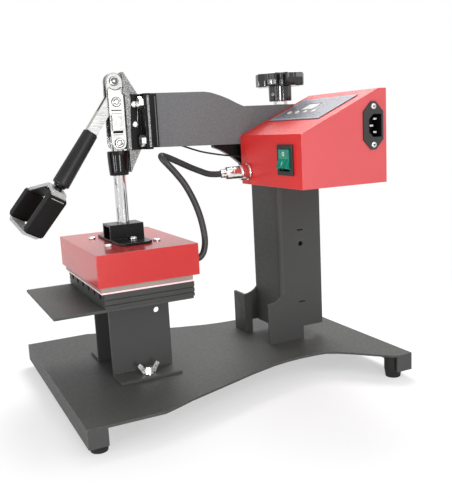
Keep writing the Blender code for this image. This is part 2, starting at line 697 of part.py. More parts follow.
# Toggle casting: a thick plate in the middle plane with a thin ear at the top pivot
pin1 = (0, TOGGLE_Y, TOP_PIVOT_Z)
low_z = TOP_PIVOT_Z - CRANK
pin2 = (0, TOGGLE_Y, low_z)
eye_z = low_z - LINK_LENGTH
back_y = bracket_front - GAP
web_y = back_y - FRAME_WEB
swing_y = TOGGLE_Y + CHEEK_RADIUS + GAP + WELD
sleeve_back = TOGGLE_Y + SLEEVE_TOP_RADIUS + GAP
tail_z = SLEEVE_TOP - FRAME_TAIL_DROP
casting = [
    (swing_y, TOP_PIVOT_Z - CHEEK_RADIUS), (swing_y, TOP_PIVOT_Z + FRAME_HEAD_TOP),
    (TOGGLE_Y + FRAME_HEAD_BACK + WELD, TOP_PIVOT_Z + FRAME_HEAD_TOP),
    (back_y - WELD, TOP_PIVOT_Z - FRAME_SLOPE_DROP), (back_y, TOP_PIVOT_Z - FRAME_SLOPE_DROP - WELD),
    (back_y, PLATE_BOTTOM + FRAME_BODY_RISE), (sleeve_back + WELD, tail_z - WELD),
    (sleeve_back, tail_z), (sleeve_back, SLEEVE_TOP),
    (web_y, SLEEVE_TOP + FRAME_WEB), (web_y, low_z)]
frame = node("toggle_casting", prism(casting, "X", -frame_half, frame_half), "hammer", pin1)
ear_half = FRAME_EAR_THICKNESS / 2
ear = [(swing_y + FRAME_WEB / 2, TOP_PIVOT_Z - FRAME_EAR_RADIUS)]
ear += [(swing_y + FRAME_WEB / 2, TOP_PIVOT_Z + FRAME_EAR_RADIUS)]
ear += arc((TOGGLE_Y, TOP_PIVOT_Z), FRAME_EAR_RADIUS, math.pi / 2, 1.5 * math.pi, CHEEK_STEPS)
boolean(frame, "UNION", prism(ear, "X", -ear_half, ear_half))
boolean(frame, "DIFFERENCE", turned(rod(PIN_RADIUS + RUN, -frame_half, frame_half), "X", pin1, 24))
ear_bolt_y = bracket_front - EAR_BOLT_BACK
ear_outer = ear_inner + EAR_THICKNESS
for k, z in enumerate(EAR_BOLT_HEIGHTS):
    for solid in (frame, bracket):
        boolean(solid, "DIFFERENCE", turned(
            rod(EAR_SHANK_RADIUS + GAP, -ear_outer - OVER, ear_outer + OVER), "X", (0, ear_bolt_y, z), 12))
    node("ear_bolt_" + str(k + 1), turned(
        [(0, -ear_outer - GAP - EAR_BOLT_HEAD), (EAR_BOLT_RADIUS, -ear_outer - GAP - EAR_BOLT_HEAD),
         (EAR_BOLT_RADIUS, -ear_outer - GAP), (EAR_SHANK_RADIUS, -ear_outer - GAP),
         (EAR_SHANK_RADIUS, ear_outer + GAP), (EAR_BOLT_RADIUS, ear_outer + GAP),
         (EAR_BOLT_RADIUS, ear_outer + GAP + EAR_BOLT_HEAD), (0, ear_outer + GAP + EAR_BOLT_HEAD)],
        "X", (0, ear_bolt_y, z), 16), "zinc", (0, ear_bolt_y, z), True)

# Guide sleeve for the plunger
node("guide_sleeve", turned(
    [(ROD_RADIUS + RUN, SLEEVE_BOTTOM), (SLEEVE_BOTTOM_RADIUS, SLEEVE_BOTTOM),
     (SLEEVE_TOP_RADIUS, SLEEVE_TOP), (ROD_RADIUS + RUN, SLEEVE_TOP)],
    "Z", (0, TOGGLE_Y, 0), 32), "plastic", (0, TOGGLE_Y, 0), True)

# Pins: the upper one stays in the casting, the lower one rides on the lever
cheek_inner = ear_half + GAP
cheek_outer = cheek_inner + CHEEK_THICKNESS
link_inner = cheek_outer + GAP
link_outer = link_inner + LINK_THICKNESS


def pin(radius, head_radius, reach, head):
    """Profile of a pin with a round head at each end."""
    return [(0, -reach - head), (head_radius, -reach - head), (head_radius, -reach),
            (radius, -reach), (radius, reach), (head_radius, reach),
            (head_radius, reach + head), (0, reach + head)]


node("top_pin", turned(pin(PIN_RADIUS, PIN_HEAD_RADIUS, cheek_outer + GAP, PIN_HEAD), "X", pin1, 24),
     "chrome", pin1, True)
node("crank_pin", turned(pin(PIN_RADIUS, PIN_HEAD_RADIUS, link_outer + GAP, PIN_HEAD), "X", pin2, 24),
     "chrome", pin2, True)

# Lever: two cheeks round the casting's ear, joined into one bar that enters the grip
along = Vector((0, -math.cos(HANDLE_SLOPE), -math.sin(HANDLE_SLOPE)))
across = Vector((0, math.sin(HANDLE_SLOPE), -math.cos(HANDLE_SLOPE)))


def at_handle(t, n):
    """Side-view point at distance t along the handle from the crank pin and n across it."""
    p = Vector(pin2) + along * t + across * (n - HANDLE_OFFSET)
    return (p.y, p.z)


cheek = arc((TOGGLE_Y, TOP_PIVOT_Z), CHEEK_RADIUS, 0.0, math.pi, CHEEK_STEPS)
bar_root = (CHEEK_RADIUS + across.y * (-BAR_WIDTH / 2 - HANDLE_OFFSET)) / math.cos(HANDLE_SLOPE)
cheek += [at_handle(bar_root, -BAR_WIDTH / 2), at_handle(GRIP_START + OVER, -BAR_WIDTH / 2),
          at_handle(GRIP_START + OVER, BAR_WIDTH / 2), at_handle(BAR_START, BAR_WIDTH / 2)]
cheek += arc((TOGGLE_Y, low_z), CHEEK_RADIUS, 1.5 * math.pi, 2.0 * math.pi, CHEEK_STEPS // 2)
lever = node("lever_fork", prism(cheek, "X", -cheek_outer, cheek_outer), "grey", pin1)
slot = [(TOGGLE_Y - FRAME_EAR_RADIUS - BAR_START, TOP_PIVOT_Z + CHEEK_RADIUS + OVER),
        (TOGGLE_Y - FRAME_EAR_RADIUS - BAR_START, low_z - CHEEK_RADIUS - OVER),
        (TOGGLE_Y + CHEEK_RADIUS + OVER, low_z - CHEEK_RADIUS - OVER),
        (TOGGLE_Y + CHEEK_RADIUS + OVER, TOP_PIVOT_Z + CHEEK_RADIUS + OVER)]
handle_start = Vector(pin2) - across * HANDLE_OFFSET
lean = Vector((0, 0, 1)).rotation_difference(along)
grip_turn = Matrix.Translation(handle_start) @ lean.to_matrix().to_4x4()
core = turned(rod(CORE_RADIUS, GRIP_START, GRIP_START + GRIP_LENGTH), "Z", (0, 0, 0), 24)
bmesh.ops.transform(core, matrix=grip_turn, verts=core.verts)
boolean(lever, "DIFFERENCE", prism(slot, "X", -cheek_inner, cheek_inner))
boolean(lever, "UNION", core)
boolean(lever, "DIFFERENCE",
        turned(rod(PIN_RADIUS + RUN, -cheek_outer - OVER, cheek_outer + OVER), "X", pin1, 24),
        turned(rod(PIN_RADIUS + RUN, -cheek_outer - OVER, cheek_outer + OVER), "X", pin2, 24))
grip_low = GRIP_START + OVER + GAP
grip = turned([(CORE_RADIUS + GAP, grip_low), (GRIP_TOP_RADIUS, grip_low),
               (GRIP_END_RADIUS, GRIP_START + GRIP_LENGTH), (CORE_RADIUS + GAP, GRIP_START + GRIP_LENGTH)],
              "Z", (0, 0, 0), 24)
bmesh.ops.transform(grip, matrix=grip_turn, verts=grip.verts)
node("lever_grip", grip, "rubber", pin1, True)

# Stirrup: a flat strip bent into a closed hand loop, hung aslant on a ball-headed bolt
def inset(points, depth):
    """The same convex outline drawn a fixed distance further in."""
    out = []
    for p, q, r in zip(points[-1:] + points[:-1], points, points[1:] + points[:1]):
        first = (Vector(q) - Vector(p)).normalized()
        second = (Vector(r) - Vector(q)).normalized()
        normal = Vector((-first.y - second.y, first.x + second.x))
        out.append(tuple(Vector(q) + normal * depth / (1.0 + first.dot(second))))
    return out


grip_end = handle_start + along * (GRIP_START + GRIP_LENGTH)
down = Vector((0, -math.cos(STIRRUP_SLOPE), -math.sin(STIRRUP_SLOPE)))
wide = Vector((0, math.sin(STIRRUP_SLOPE), -math.cos(STIRRUP_SLOPE)))
twist = Matrix.Rotation(STIRRUP_TWIST, 4, down)
loop_n = twist @ wide
aslant = Matrix.Rotation(STIRRUP_LEAN, 4, loop_n)
loop_x = aslant @ (twist @ Vector((1, 0, 0)))
loop_frame = Matrix.Translation(grip_end) @ Matrix(
    (loop_x, aslant @ down, loop_n)).transposed().to_4x4()
start = STIRRUP_START
near_low = start + STIRRUP_NEAR_LENGTH
far_low = start + STIRRUP_FAR_LENGTH
corner = STIRRUP_CORNER
neck = STIRRUP_NECK / 2
strip = STIRRUP_STRIP / 2
wall = STIRRUP_WALL
outer = [(-neck, start), (neck, start), (STIRRUP_NEAR, start + STIRRUP_NEAR_SHOULDER),
         (STIRRUP_NEAR, near_low - corner), (STIRRUP_NEAR - corner, near_low),
         (-STIRRUP_FAR + corner, far_low), (-STIRRUP_FAR, far_low - corner),
         (-STIRRUP_FAR, start + STIRRUP_FAR_SHOULDER)]
inner = inset(outer, wall)
stirrup = node("stirrup", prism(outer, "Z", -strip, strip, loop_frame), "grey", pin1)
boolean(stirrup, "DIFFERENCE", prism(inner, "Z", -strip - OVER, strip + OVER, loop_frame))
thick = wall / 2 + GAP + HAND_PAD_WALL
for tag, mid, first, length in (
        ("left", -STIRRUP_FAR + wall / 2, start + FAR_PAD_START, FAR_PAD_LENGTH),
        ("right", STIRRUP_NEAR - wall / 2, start + NEAR_PAD_START, NEAR_PAD_LENGTH)):
    pad = prism(rectangle(mid - thick, mid + thick, first, first + length), "Z",
                -strip - GAP - HAND_PAD_WALL, strip + GAP + HAND_PAD_WALL, loop_frame)
    pad = node("hand_pad_" + tag, pad, "rubber", pin1)
    boolean(pad, "DIFFERENCE", prism(
        rectangle(mid - wall / 2 - GAP, mid + wall / 2 + GAP, first - OVER, first + length + OVER),
        "Z", -strip - GAP, strip + GAP, loop_frame))
end_turn = Matrix.Translation(along * (GRIP_START + GRIP_LENGTH)) @ grip_turn
bolt_depth = -STIRRUP_BOLT_DEPTH
ball_mid = start + wall / 2
ball_root = math.acos(STIRRUP_BOLT_RADIUS / STIRRUP_BALL_RADIUS)
ball = arc((0, ball_mid), STIRRUP_BALL_RADIUS, -ball_root, math.pi / 2, STIRRUP_BALL_STEPS)
bolt = turned([(0, bolt_depth), (STIRRUP_BOLT_RADIUS, bolt_depth)] + ball[:-1]
              + [(0, ball_mid + STIRRUP_BALL_RADIUS)], "Z", (0, 0, 0), 20)
bmesh.ops.transform(bolt, matrix=end_turn, verts=bolt.verts)
boolean(stirrup, "UNION", bolt)
bolt_bore = turned(rod(STIRRUP_BOLT_RADIUS + GAP, bolt_depth - GAP, OVER), "Z", (0, 0, 0), 16)
bmesh.ops.transform(bolt_bore, matrix=end_turn, verts=bolt_bore.verts)
boolean(lever, "DIFFERENCE", bolt_bore)

# Links: one plate each side, hollowed above to clear the upper pivot, stepped outward in the
# middle, open at the plunger's eye
reach = LINK_REACH
hug = CHEEK_RADIUS + GAP
hug_end = math.acos((hug ** 2 + CRANK ** 2 - reach ** 2) / (2.0 * hug * CRANK))
for tag, sx in (("left", -1), ("right", 1)):
    xs = sorted((sx * link_inner, sx * link_outer))
    bump = sorted((sx * (link_outer - WELD), sx * (link_outer + LINK_BLOCK)))
    half = LINK_WIDTH / 2
    shape = [(TOGGLE_Y + half, low_z + LINK_SHOULDER)]
    shape += arc((TOGGLE_Y, TOP_PIVOT_Z), hug, -math.pi / 2 + hug_end / 2, -math.pi / 2 - hug_end,
                 CHEEK_STEPS // 2)
    horn = math.asin(LINK_HORN_SHARE * half / reach)
    shape += [(TOGGLE_Y - reach * math.sin(horn), low_z + reach * math.cos(horn)),
              (TOGGLE_Y - half, low_z + LINK_REACH * LINK_HORN_SHARE ** 2)]
    shape += arc((TOGGLE_Y, eye_z), half, math.pi, 2.0 * math.pi, CHEEK_STEPS // 2)
    link = node("link_" + tag, prism(shape, "X", *xs), "chrome", pin2)
    mid = (low_z + eye_z) / 2
    boolean(link, "UNION", box(
        (bump[0], TOGGLE_Y - LINK_BLOCK_WIDTH / 2, mid - LINK_BLOCK_LENGTH / 2),
        (bump[1], TOGGLE_Y + LINK_BLOCK_WIDTH / 2, mid + LINK_BLOCK_LENGTH / 2)))
    eye = (0, TOGGLE_Y, eye_z)
    boolean(link, "DIFFERENCE",
            turned(rod(PIN_RADIUS + RUN, xs[0] - OVER, xs[1] + OVER), "X", pin2, 24))
    screw = sorted((sx * (link_outer - WELD), sx * (link_outer + PIN_HEAD)))
    boolean(link, "UNION", turned(rod(LINK_SCREW_HEAD_RADIUS, *screw), "X", eye, 24))

# Plunger: round rod with a flat tongue between the links
spindle = (0, TOGGLE_Y, 0)
plate_low = HEAD_TOP + GAP
plate_high = plate_low + BRACKET_PLATE_THICKNESS
block_top = plate_high + BLOCK_HEIGHT
rod_low = block_top - BLOCK_WALL - GAP - ROD_NUT_HEIGHT
tongue_top = eye_z + TONGUE_ABOVE
plunger = node("plunger_rod", turned(rod(ROD_RADIUS, rod_low, tongue_top), "Z", spindle, 32),
               "chrome", spindle, True)
flat_low = eye_z - LINK_WIDTH / 2 - TONGUE_BELOW
for sx in (-1, 1):
    xs = sorted((sx * TONGUE_THICKNESS / 2, sx * (ROD_RADIUS + OVER)))
    boolean(plunger, "DIFFERENCE", box(
        (xs[0], TOGGLE_Y - ROD_RADIUS - OVER, flat_low),
        (xs[1], TOGGLE_Y + ROD_RADIUS + OVER, tongue_top + OVER)))

# Channel block and bracket plate that carry the head on the rod
block_half = BLOCK_WIDTH / 2
block_front = TOGGLE_Y - BLOCK_FRONT
block_back = TOGGLE_Y + BLOCK_BACK
hoop = [(-block_half, plate_low + WELD), (block_half, plate_low + WELD), (block_half, block_top),
        (-block_half, block_top)]
boolean(plunger, "UNION", turned(
    tube(ROD_NUT_RADIUS, ROD_RADIUS - WELD, rod_low + WELD, block_top - BLOCK_WALL - GAP), "Z", spindle, 6))
bracket_half = BRACKET_PLATE_WIDTH / 2
c = BRACKET_PLATE_CORNER
bp_front = TOGGLE_Y - BRACKET_PLATE_FRONT
bp_back = TOGGLE_Y + BRACKET_PLATE_BACK
carrier = node("head_bracket", prism(
    [(-bracket_half + c, bp_front), (bracket_half - c, bp_front), (bracket_half, bp_front + c),
     (bracket_half, bp_back - c), (bracket_half - c, bp_back), (-bracket_half + c, bp_back),
     (-bracket_half, bp_back - c), (-bracket_half, bp_front + c)],
    "Z", plate_low, plate_high), "black", spindle)
boolean(carrier, "UNION", prism(hoop, "Y", block_front, block_back))
boolean(carrier, "DIFFERENCE",
        box((-block_half + BLOCK_WALL, block_front - OVER, plate_high),
            (block_half - BLOCK_WALL, block_back + OVER, block_top - BLOCK_WALL)),
        turned(rod(ROD_RADIUS + GAP, plate_high + OVER, block_top + OVER), "Z", spindle, 32))

# Head: cover, heating plate and silicone pad, held by six screws
heater_half = PLATEN_WIDTH / 2 + HEATER_SIDE_OVERHANG
head_half = heater_half + HEATER_INSET
cover_under = HEAD_TOP - COVER_WALL
cover = node("head_cover", box((-head_half, HEAD_FRONT, COVER_BOTTOM), (head_half, HEAD_BACK, HEAD_TOP)),
             "red", spindle)
boolean(cover, "DIFFERENCE", box(
    (-head_half + COVER_WALL, HEAD_FRONT + COVER_WALL, COVER_BOTTOM - OVER),
    (head_half - COVER_WALL, HEAD_BACK - COVER_WALL, cover_under)))
heater_front = HEAD_FRONT + HEATER_INSET
heater_back = HEAD_BACK - HEATER_INSET_BACK
heater = node("heating_plate", box(
    (-heater_half, heater_front, HEATER_BOTTOM), (heater_half, heater_back, HEATER_TOP)),
    "aluminium", spindle)
node("silicone_pad", box(
    (-heater_half, heater_front, PAD_BOTTOM), (heater_half, heater_back, HEATER_BOTTOM - GAP)),
    "silicone", spindle)


def head_screw(name, x, y, under_head):
    """A domed screw down through the cover and into the heating plate."""
    head_low = under_head + GAP
    dome = SCREW_HEAD_HEIGHT / 2
    node(name, turned(
        [(0, HEATER_TOP - SCREW_DEPTH), (SCREW_SHANK_RADIUS, HEATER_TOP - SCREW_DEPTH),
         (SCREW_SHANK_RADIUS, head_low),
         (SCREW_HEAD_RADIUS, head_low), (SCREW_HEAD_RADIUS, head_low + dome / 2),
         (SCREW_HEAD_RADIUS * SCREW_DOME_SHARE, head_low + SCREW_HEAD_HEIGHT),
         (0, head_low + SCREW_HEAD_HEIGHT)],
        "Z", (x, y, 0), 16), "zinc", spindle, True)
    hole = SCREW_SHANK_RADIUS + GAP
    boolean(heater, "DIFFERENCE", turned(
        rod(hole, HEATER_TOP - SCREW_DEPTH - GAP, HEATER_TOP + OVER), "Z", (x, y, 0), 12))
    boolean(cover, "DIFFERENCE", turned(rod(hole, cover_under - OVER, HEAD_TOP + OVER), "Z", (x, y, 0), 12))


screw_spots = [("fl", -SCREW_X, TOGGLE_Y - SCREW_FRONT), ("fr", SCREW_X, TOGGLE_Y - SCREW_FRONT),
               ("rl", -SCREW_X, TOGGLE_Y + SCREW_BACK), ("rr", SCREW_X, TOGGLE_Y + SCREW_BACK)]
for tag, x, y in screw_spots:
    head_screw("head_screw_" + tag, x, y, HEAD_TOP)
for tag, sx in (("left", -1), ("right", 1)):
    x, y = sx * PLATE_SCREW_X, TOGGLE_Y - PLATE_SCREW_AHEAD
    head_screw("plate_screw_" + tag, x, y, plate_high)
    boolean(carrier, "DIFFERENCE", turned(
        rod(SCREW_SHANK_RADIUS + GAP, plate_low - OVER, plate_high + OVER), "Z", (x, y, 0), 12))

gland_spot = (GLAND_X, 0, GLAND_Z)
node("cable_gland", turned(
    [(0, HEAD_BACK - COVER_WALL - OVER), (GLAND_NECK_RADIUS, HEAD_BACK - COVER_WALL - OVER),
     (GLAND_NECK_RADIUS, HEAD_BACK + GAP), (GLAND_RADIUS, HEAD_BACK + GAP),
     (GLAND_RADIUS, HEAD_BACK + GAP + GLAND_LENGTH), (0, HEAD_BACK + GAP + GLAND_LENGTH)],
    "Y", gland_spot, 16), "rubber", gland_spot, True)
boolean(cover, "DIFFERENCE", turned(
    rod(GLAND_NECK_RADIUS + GAP, HEAD_BACK - COVER_WALL - OVER, HEAD_BACK + OVER),
    "Y", gland_spot, 16))

# Lower platen with pen grooves on top and ribs along its sides
platen_low = SHELF_TOP + GAP
platen_half = PLATEN_WIDTH / 2
height = PLATEN_TOP - platen_low
profile = []
for low, high in RIB_SHARES:
    if profile:
        profile += [(platen_half - PLATEN_STEP, platen_low + height * low)]
    profile += [(platen_half, platen_low + height * low), (platen_half, platen_low + height * high)]
    if high < 1.0:
        profile += [(platen_half - PLATEN_STEP, platen_low + height * high)]
lean_in = math.asin(GROOVE_RISE / GROOVE_RADIUS)
top_edge = []
for k in range(GROOVE_COUNT):
    mid = ((GROOVE_COUNT - 1) / 2 - k) * GROOVE_PITCH
    top_edge += arc((mid, PLATEN_TOP + GROOVE_RISE), GROOVE_RADIUS, -lean_in, -math.pi + lean_in,
                    GROOVE_STEPS)
section = profile + top_edge + [(-x, z) for x, z in reversed(profile)]
node("lower_platen", prism(section, "Y", PLATEN_FRONT, PLATEN_BACK), "black")

shelf_half = SHELF_WIDTH / 2
shelf_low = SHELF_TOP - SHELF_THICKNESS
node("shelf_plate", box(
    (-shelf_half, SHELF_FRONT, shelf_low), (shelf_half, SHELF_BACK, SHELF_TOP)), "black")

# Pedestal: a channel with its feet turned outward
ped_half = PEDESTAL_WIDTH / 2
ped_top = shelf_low - GAP
ped_low = BASE_TOP + GAP
t = PEDESTAL_SHEET
ped = [(-ped_half - PEDESTAL_FOOT, ped_low), (-ped_half + t, ped_low), (-ped_half + t, ped_top - t),
       (ped_half - t, ped_top - t), (ped_half - t, ped_low), (ped_half + PEDESTAL_FOOT, ped_low),
       (ped_half + PEDESTAL_FOOT, ped_low + t), (ped_half, ped_low + t), (ped_half, ped_top),
       (-ped_half, ped_top), (-ped_half, ped_low + t), (-ped_half - PEDESTAL_FOOT, ped_low + t)]
pedestal = node("pedestal", prism(ped, "Y", PEDESTAL_FRONT, PEDESTAL_BACK), "black")
boolean(pedestal, "DIFFERENCE", turned(
    rod(PEDESTAL_HOLE_RADIUS, -ped_half - OVER, ped_half + OVER),
    "X", (0, PEDESTAL_BACK - PEDESTAL_HOLE_BACK, PEDESTAL_HOLE_Z), 16))
for tag, sx in (("left", -1), ("right", 1)):
    spot = (sx * WING_X, WING_Y, 0)
    boolean(pedestal, "DIFFERENCE", turned(
        rod(WING_SHANK_RADIUS + GAP, ped_low - OVER, ped_low + t + OVER), "Z", spot, 16))
    seat = ped_low + t + GAP
    shank_low = sheet_bottom - WING_SHANK_PROUD
    wing = node("wing_screw_" + tag, turned(
        [(0, shank_low), (WING_SHANK_RADIUS, shank_low), (WING_SHANK_RADIUS, seat), (WING_HUB_RADIUS, seat),
         (WING_HUB_RADIUS * WING_NECK_SHARE, seat + WING_HUB_HEIGHT), (0, seat + WING_HUB_HEIGHT)],
        "Z", spot, 20), "zinc", spot, True)
    root = seat + WELD
    ears = [(WING_SPAN * out, root + WING_RISE * up) for out, up in WING_SHARES]
    ears += [(-a, b) for a, b in reversed(ears[1:])]
    boolean(wing, "UNION", prism([(WING_Y + a, b) for a, b in ears], "X",
                                 spot[0] - WING_SHEET / 2, spot[0] + WING_SHEET / 2))

# Control box: a wedge shell, open towards the arm and closed by a side plate
slope_run = BOX_BACK - BOX_FLAT - BOX_FRONT
slope_rise = BOX_TOP - BOX_FRONT_TOP
slope = math.atan2(slope_rise, slope_run)
slope_length = math.hypot(slope_run, slope_rise)
wedge = [(BOX_FRONT, BOX_BOTTOM), (BOX_BACK, BOX_BOTTOM), (BOX_BACK, BOX_TOP),
         (BOX_BACK - BOX_FLAT, BOX_TOP), (BOX_FRONT, BOX_FRONT_TOP)]
w = BOX_WALL
bend = w * math.tan(slope / 2)
hollow = [(BOX_FRONT + w, BOX_BOTTOM + w), (BOX_BACK - w, BOX_BOTTOM + w), (BOX_BACK - w, BOX_TOP - w),
          (BOX_BACK - BOX_FLAT + bend, BOX_TOP - w),
          (BOX_FRONT + w, BOX_FRONT_TOP - w / math.cos(slope) + w * math.tan(slope))]
shell = node("box_shell", prism(wedge, "X", BOX_LEFT, BOX_RIGHT), "red", pivot)
boolean(shell, "DIFFERENCE", prism(hollow, "X", BOX_LEFT - OVER, BOX_RIGHT - w))
side_inner = arm_half + GAP
node("box_side", prism(wedge, "X", side_inner, BOX_LEFT - GAP), "red", pivot)

# The sloped panel's own frame: X across, second axis up the slope, third out of it
up_slope = Vector((0, math.cos(slope), math.sin(slope)))
out_slope = Vector((0, -math.sin(slope), math.cos(slope)))
slope_frame = Matrix.Translation((0, BOX_FRONT, BOX_FRONT_TOP)) @ Matrix(
    (Vector((1, 0, 0)), up_slope, out_slope)).transposed().to_4x4()
panel_left = BOX_LEFT + PANEL_MARGIN_LEFT
panel_right = BOX_RIGHT - PANEL_MARGIN_RIGHT
panel_low = PANEL_MARGIN_LOW
panel_high = slope_length - PANEL_MARGIN_HIGH
panel = node("panel_overlay", prism(rectangle(panel_left, panel_right, panel_low, panel_high), "Z",
                                    GAP, GAP + PANEL_THICKNESS, slope_frame), "panel", pivot)
screen_right = panel_right - DISPLAY_RIGHT
screen_left = screen_right - DISPLAY_WIDTH
screen_low = panel_low + DISPLAY_LOW
screen_high = screen_low + DISPLAY_HEIGHT
screen_top = GAP + PANEL_THICKNESS
screen_cut = prism(rectangle(screen_left - GAP, screen_right + GAP, screen_low - GAP, screen_high + GAP),
                   "Z", -w - OVER, screen_top + OVER, slope_frame)
boolean(panel, "DIFFERENCE", screen_cut.copy())
boolean(shell, "DIFFERENCE", screen_cut)
board_high = -w - BOARD_DEPTH
button_y = screen_low - BUTTON_BELOW
button_mid = (screen_left + screen_right) / 2
button_top = screen_top + BUTTON_PROUD
for k in range(BUTTON_COUNT):
    x = button_mid + (k - (BUTTON_COUNT - 1) / 2) * BUTTON_PITCH
    spot = slope_frame @ Vector((x, button_y, 0))
    cap = turned(rod(BUTTON_RADIUS, button_top - BUTTON_HEIGHT, button_top), "Z", (x, button_y, 0), 16)
    bmesh.ops.transform(cap, matrix=slope_frame, verts=cap.verts)
    node("button_" + str(k + 1), cap, "white", spot, True)
    bore = turned(rod(BUTTON_RADIUS + BUTTON_CLEAR, -w - OVER, screen_top + OVER),
                  "Z", (x, button_y, 0), 16)
    bmesh.ops.transform(bore, matrix=slope_frame, verts=bore.verts)
    boolean(panel, "DIFFERENCE", bore.copy())
    boolean(shell, "DIFFERENCE", bore)
board_left = panel_left - BOARD_MARGIN / 2
board_right = panel_right + BOARD_MARGIN / 2
board_low = panel_low - BOARD_MARGIN
board_top = screen_high + BOARD_MARGIN
board = node("control_board", prism(
    rectangle(board_left, board_right, board_low, board_top),
    "Z", board_high - BOARD_THICKNESS, board_high, slope_frame), "green", pivot)
boolean(board, "UNION", prism(rectangle(screen_left, screen_right, screen_low, screen_high), "Z",
                              board_high - BOARD_THICKNESS / 2, screen_top, slope_frame))
for px in (board_left + BOARD_POST_INSET, board_right - BOARD_POST_INSET):
    for py in (board_low + BOARD_POST_INSET, board_top - BOARD_POST_INSET):
        post = turned(rod(BOARD_POST_RADIUS, board_high - BOARD_THICKNESS / 2, -w - GAP),
                      "Z", (px, py, 0), 10)
        bmesh.ops.transform(post, matrix=slope_frame, verts=post.verts)
        boolean(board, "UNION", post)

# Rocker switch in the front wall
bezel_front = BOX_FRONT - GAP - BEZEL_DEPTH
body_back = BOX_FRONT + w + SWITCH_BODY_DEPTH
switch = node("switch_bezel", box(
    (SWITCH_X - BEZEL_WIDTH / 2, bezel_front, SWITCH_Z - BEZEL_HEIGHT / 2),
    (SWITCH_X + BEZEL_WIDTH / 2, BOX_FRONT - GAP, SWITCH_Z + BEZEL_HEIGHT / 2)), "plastic", pivot)
boolean(switch, "UNION", box(
    (SWITCH_X - SWITCH_BODY_WIDTH / 2, bezel_front + BEZEL_DEPTH / 2, SWITCH_Z - SWITCH_BODY_HEIGHT / 2),
    (SWITCH_X + SWITCH_BODY_WIDTH / 2, body_back, SWITCH_Z + SWITCH_BODY_HEIGHT / 2)))
pocket_w = ROCKER_WIDTH / 2 + ROCKER_CLEAR
pocket_h = ROCKER_HEIGHT / 2 + ROCKER_CLEAR
boolean(switch, "DIFFERENCE", box(
    (SWITCH_X - pocket_w, bezel_front - OVER, SWITCH_Z - pocket_h),
    (SWITCH_X + pocket_w, bezel_front + ROCKER_POCKET_DEPTH, SWITCH_Z + pocket_h)))
boolean(shell, "DIFFERENCE", box(
    (SWITCH_X - SWITCH_BODY_WIDTH / 2 - GAP, BOX_FRONT - OVER, SWITCH_Z - SWITCH_BODY_HEIGHT / 2 - GAP),
    (SWITCH_X + SWITCH_BODY_WIDTH / 2 + GAP, BOX_FRONT + w + OVER, SWITCH_Z + SWITCH_BODY_HEIGHT / 2 + GAP)))
# the rocker's flat V, drawn level and tipped so that its lower end stands proud
rocker_axis_y = bezel_front + ROCKER_POCKET_DEPTH / 2
rocker_pivot = (SWITCH_X, rocker_axis_y, SWITCH_Z)
rh = ROCKER_HEIGHT / 2
front_at = -(ROCKER_POCKET_DEPTH / 2 + ROCKER_PROUD)
tip_rise = rh * math.tan(ROCKER_TILT)
back_at = ROCKER_POCKET_DEPTH / 2 - tip_rise - ROCKER_CLEAR
rocker_tip = rh - ROCKER_DRAFT
rocker_side = [(front_at, -rocker_tip), (front_at + tip_rise, 0), (front_at, rocker_tip), (0, rh),
               (back_at, rh / 3), (back_at, -rh / 3), (0, -rh)]
tip = Matrix.Translation(rocker_pivot) @ Matrix.Rotation(-ROCKER_TILT, 4, "X")
node("rocker", prism(rocker_side, "X", -ROCKER_WIDTH / 2, ROCKER_WIDTH / 2, tip), "green", rocker_pivot)

# Mains inlet in the right-hand wall
inlet_face = BOX_RIGHT + GAP
inlet_front = inlet_face + INLET_FLANGE
hl, hw = INLET_LENGTH / 2, INLET_WIDTH / 2
flat, tipw = INLET_FLAT / 2, INLET_TIP_WIDTH / 2
rim = [(INLET_Y + a, INLET_Z + b) for a, b in (
    (-hw, -flat), (-tipw, -hl), (tipw, -hl), (hw, -flat), (hw, flat), (tipw, hl), (-tipw, hl), (-hw, flat))]
inlet = node("mains_inlet", prism(rim, "X", inlet_face, inlet_front), "plastic", pivot)
inlet_back = BOX_RIGHT - INLET_BODY_DEPTH
body_y = INLET_Y + SOCKET_SHIFT
boolean(inlet, "UNION", box(
    (inlet_back, body_y - INLET_BODY_WIDTH / 2, INLET_Z - INLET_BODY_LENGTH / 2),
    (inlet_face + INLET_FLANGE / 2, body_y + INLET_BODY_WIDTH / 2, INLET_Z + INLET_BODY_LENGTH / 2)))
sl, sw, sc = SOCKET_LENGTH / 2, SOCKET_WIDTH / 2, SOCKET_CORNER
mouth = [(body_y + a, INLET_Z + b) for a, b in (
    (-sw + sc, -sl), (sw, -sl), (sw, sl), (-sw + sc, sl), (-sw, sl - sc), (-sw, -sl + sc))]
socket_floor = inlet_front - SOCKET_DEPTH
boolean(inlet, "DIFFERENCE", prism(mouth, "X", socket_floor, inlet_front + OVER))
boolean(shell, "DIFFERENCE", box(
    (BOX_RIGHT - w - OVER, body_y - INLET_BODY_WIDTH / 2 - GAP, INLET_Z - INLET_BODY_LENGTH / 2 - GAP),
    (BOX_RIGHT + OVER, body_y + INLET_BODY_WIDTH / 2 + GAP, INLET_Z + INLET_BODY_LENGTH / 2 + GAP)))
for dy, dz in ((BLADE_EARTH_OFFSET - WELD, -BLADE_PITCH), (-BLADE_EARTH_OFFSET + BLADE_THICKNESS, 0),
               (BLADE_EARTH_OFFSET - WELD, BLADE_PITCH)):
    boolean(inlet, "UNION", box(
        (socket_floor - WELD, body_y + dy - BLADE_WIDTH / 2, INLET_Z + dz - BLADE_THICKNESS / 2),
        (socket_floor + BLADE_LENGTH, body_y + dy + BLADE_WIDTH / 2,
         INLET_Z + dz + BLADE_THICKNESS / 2)))
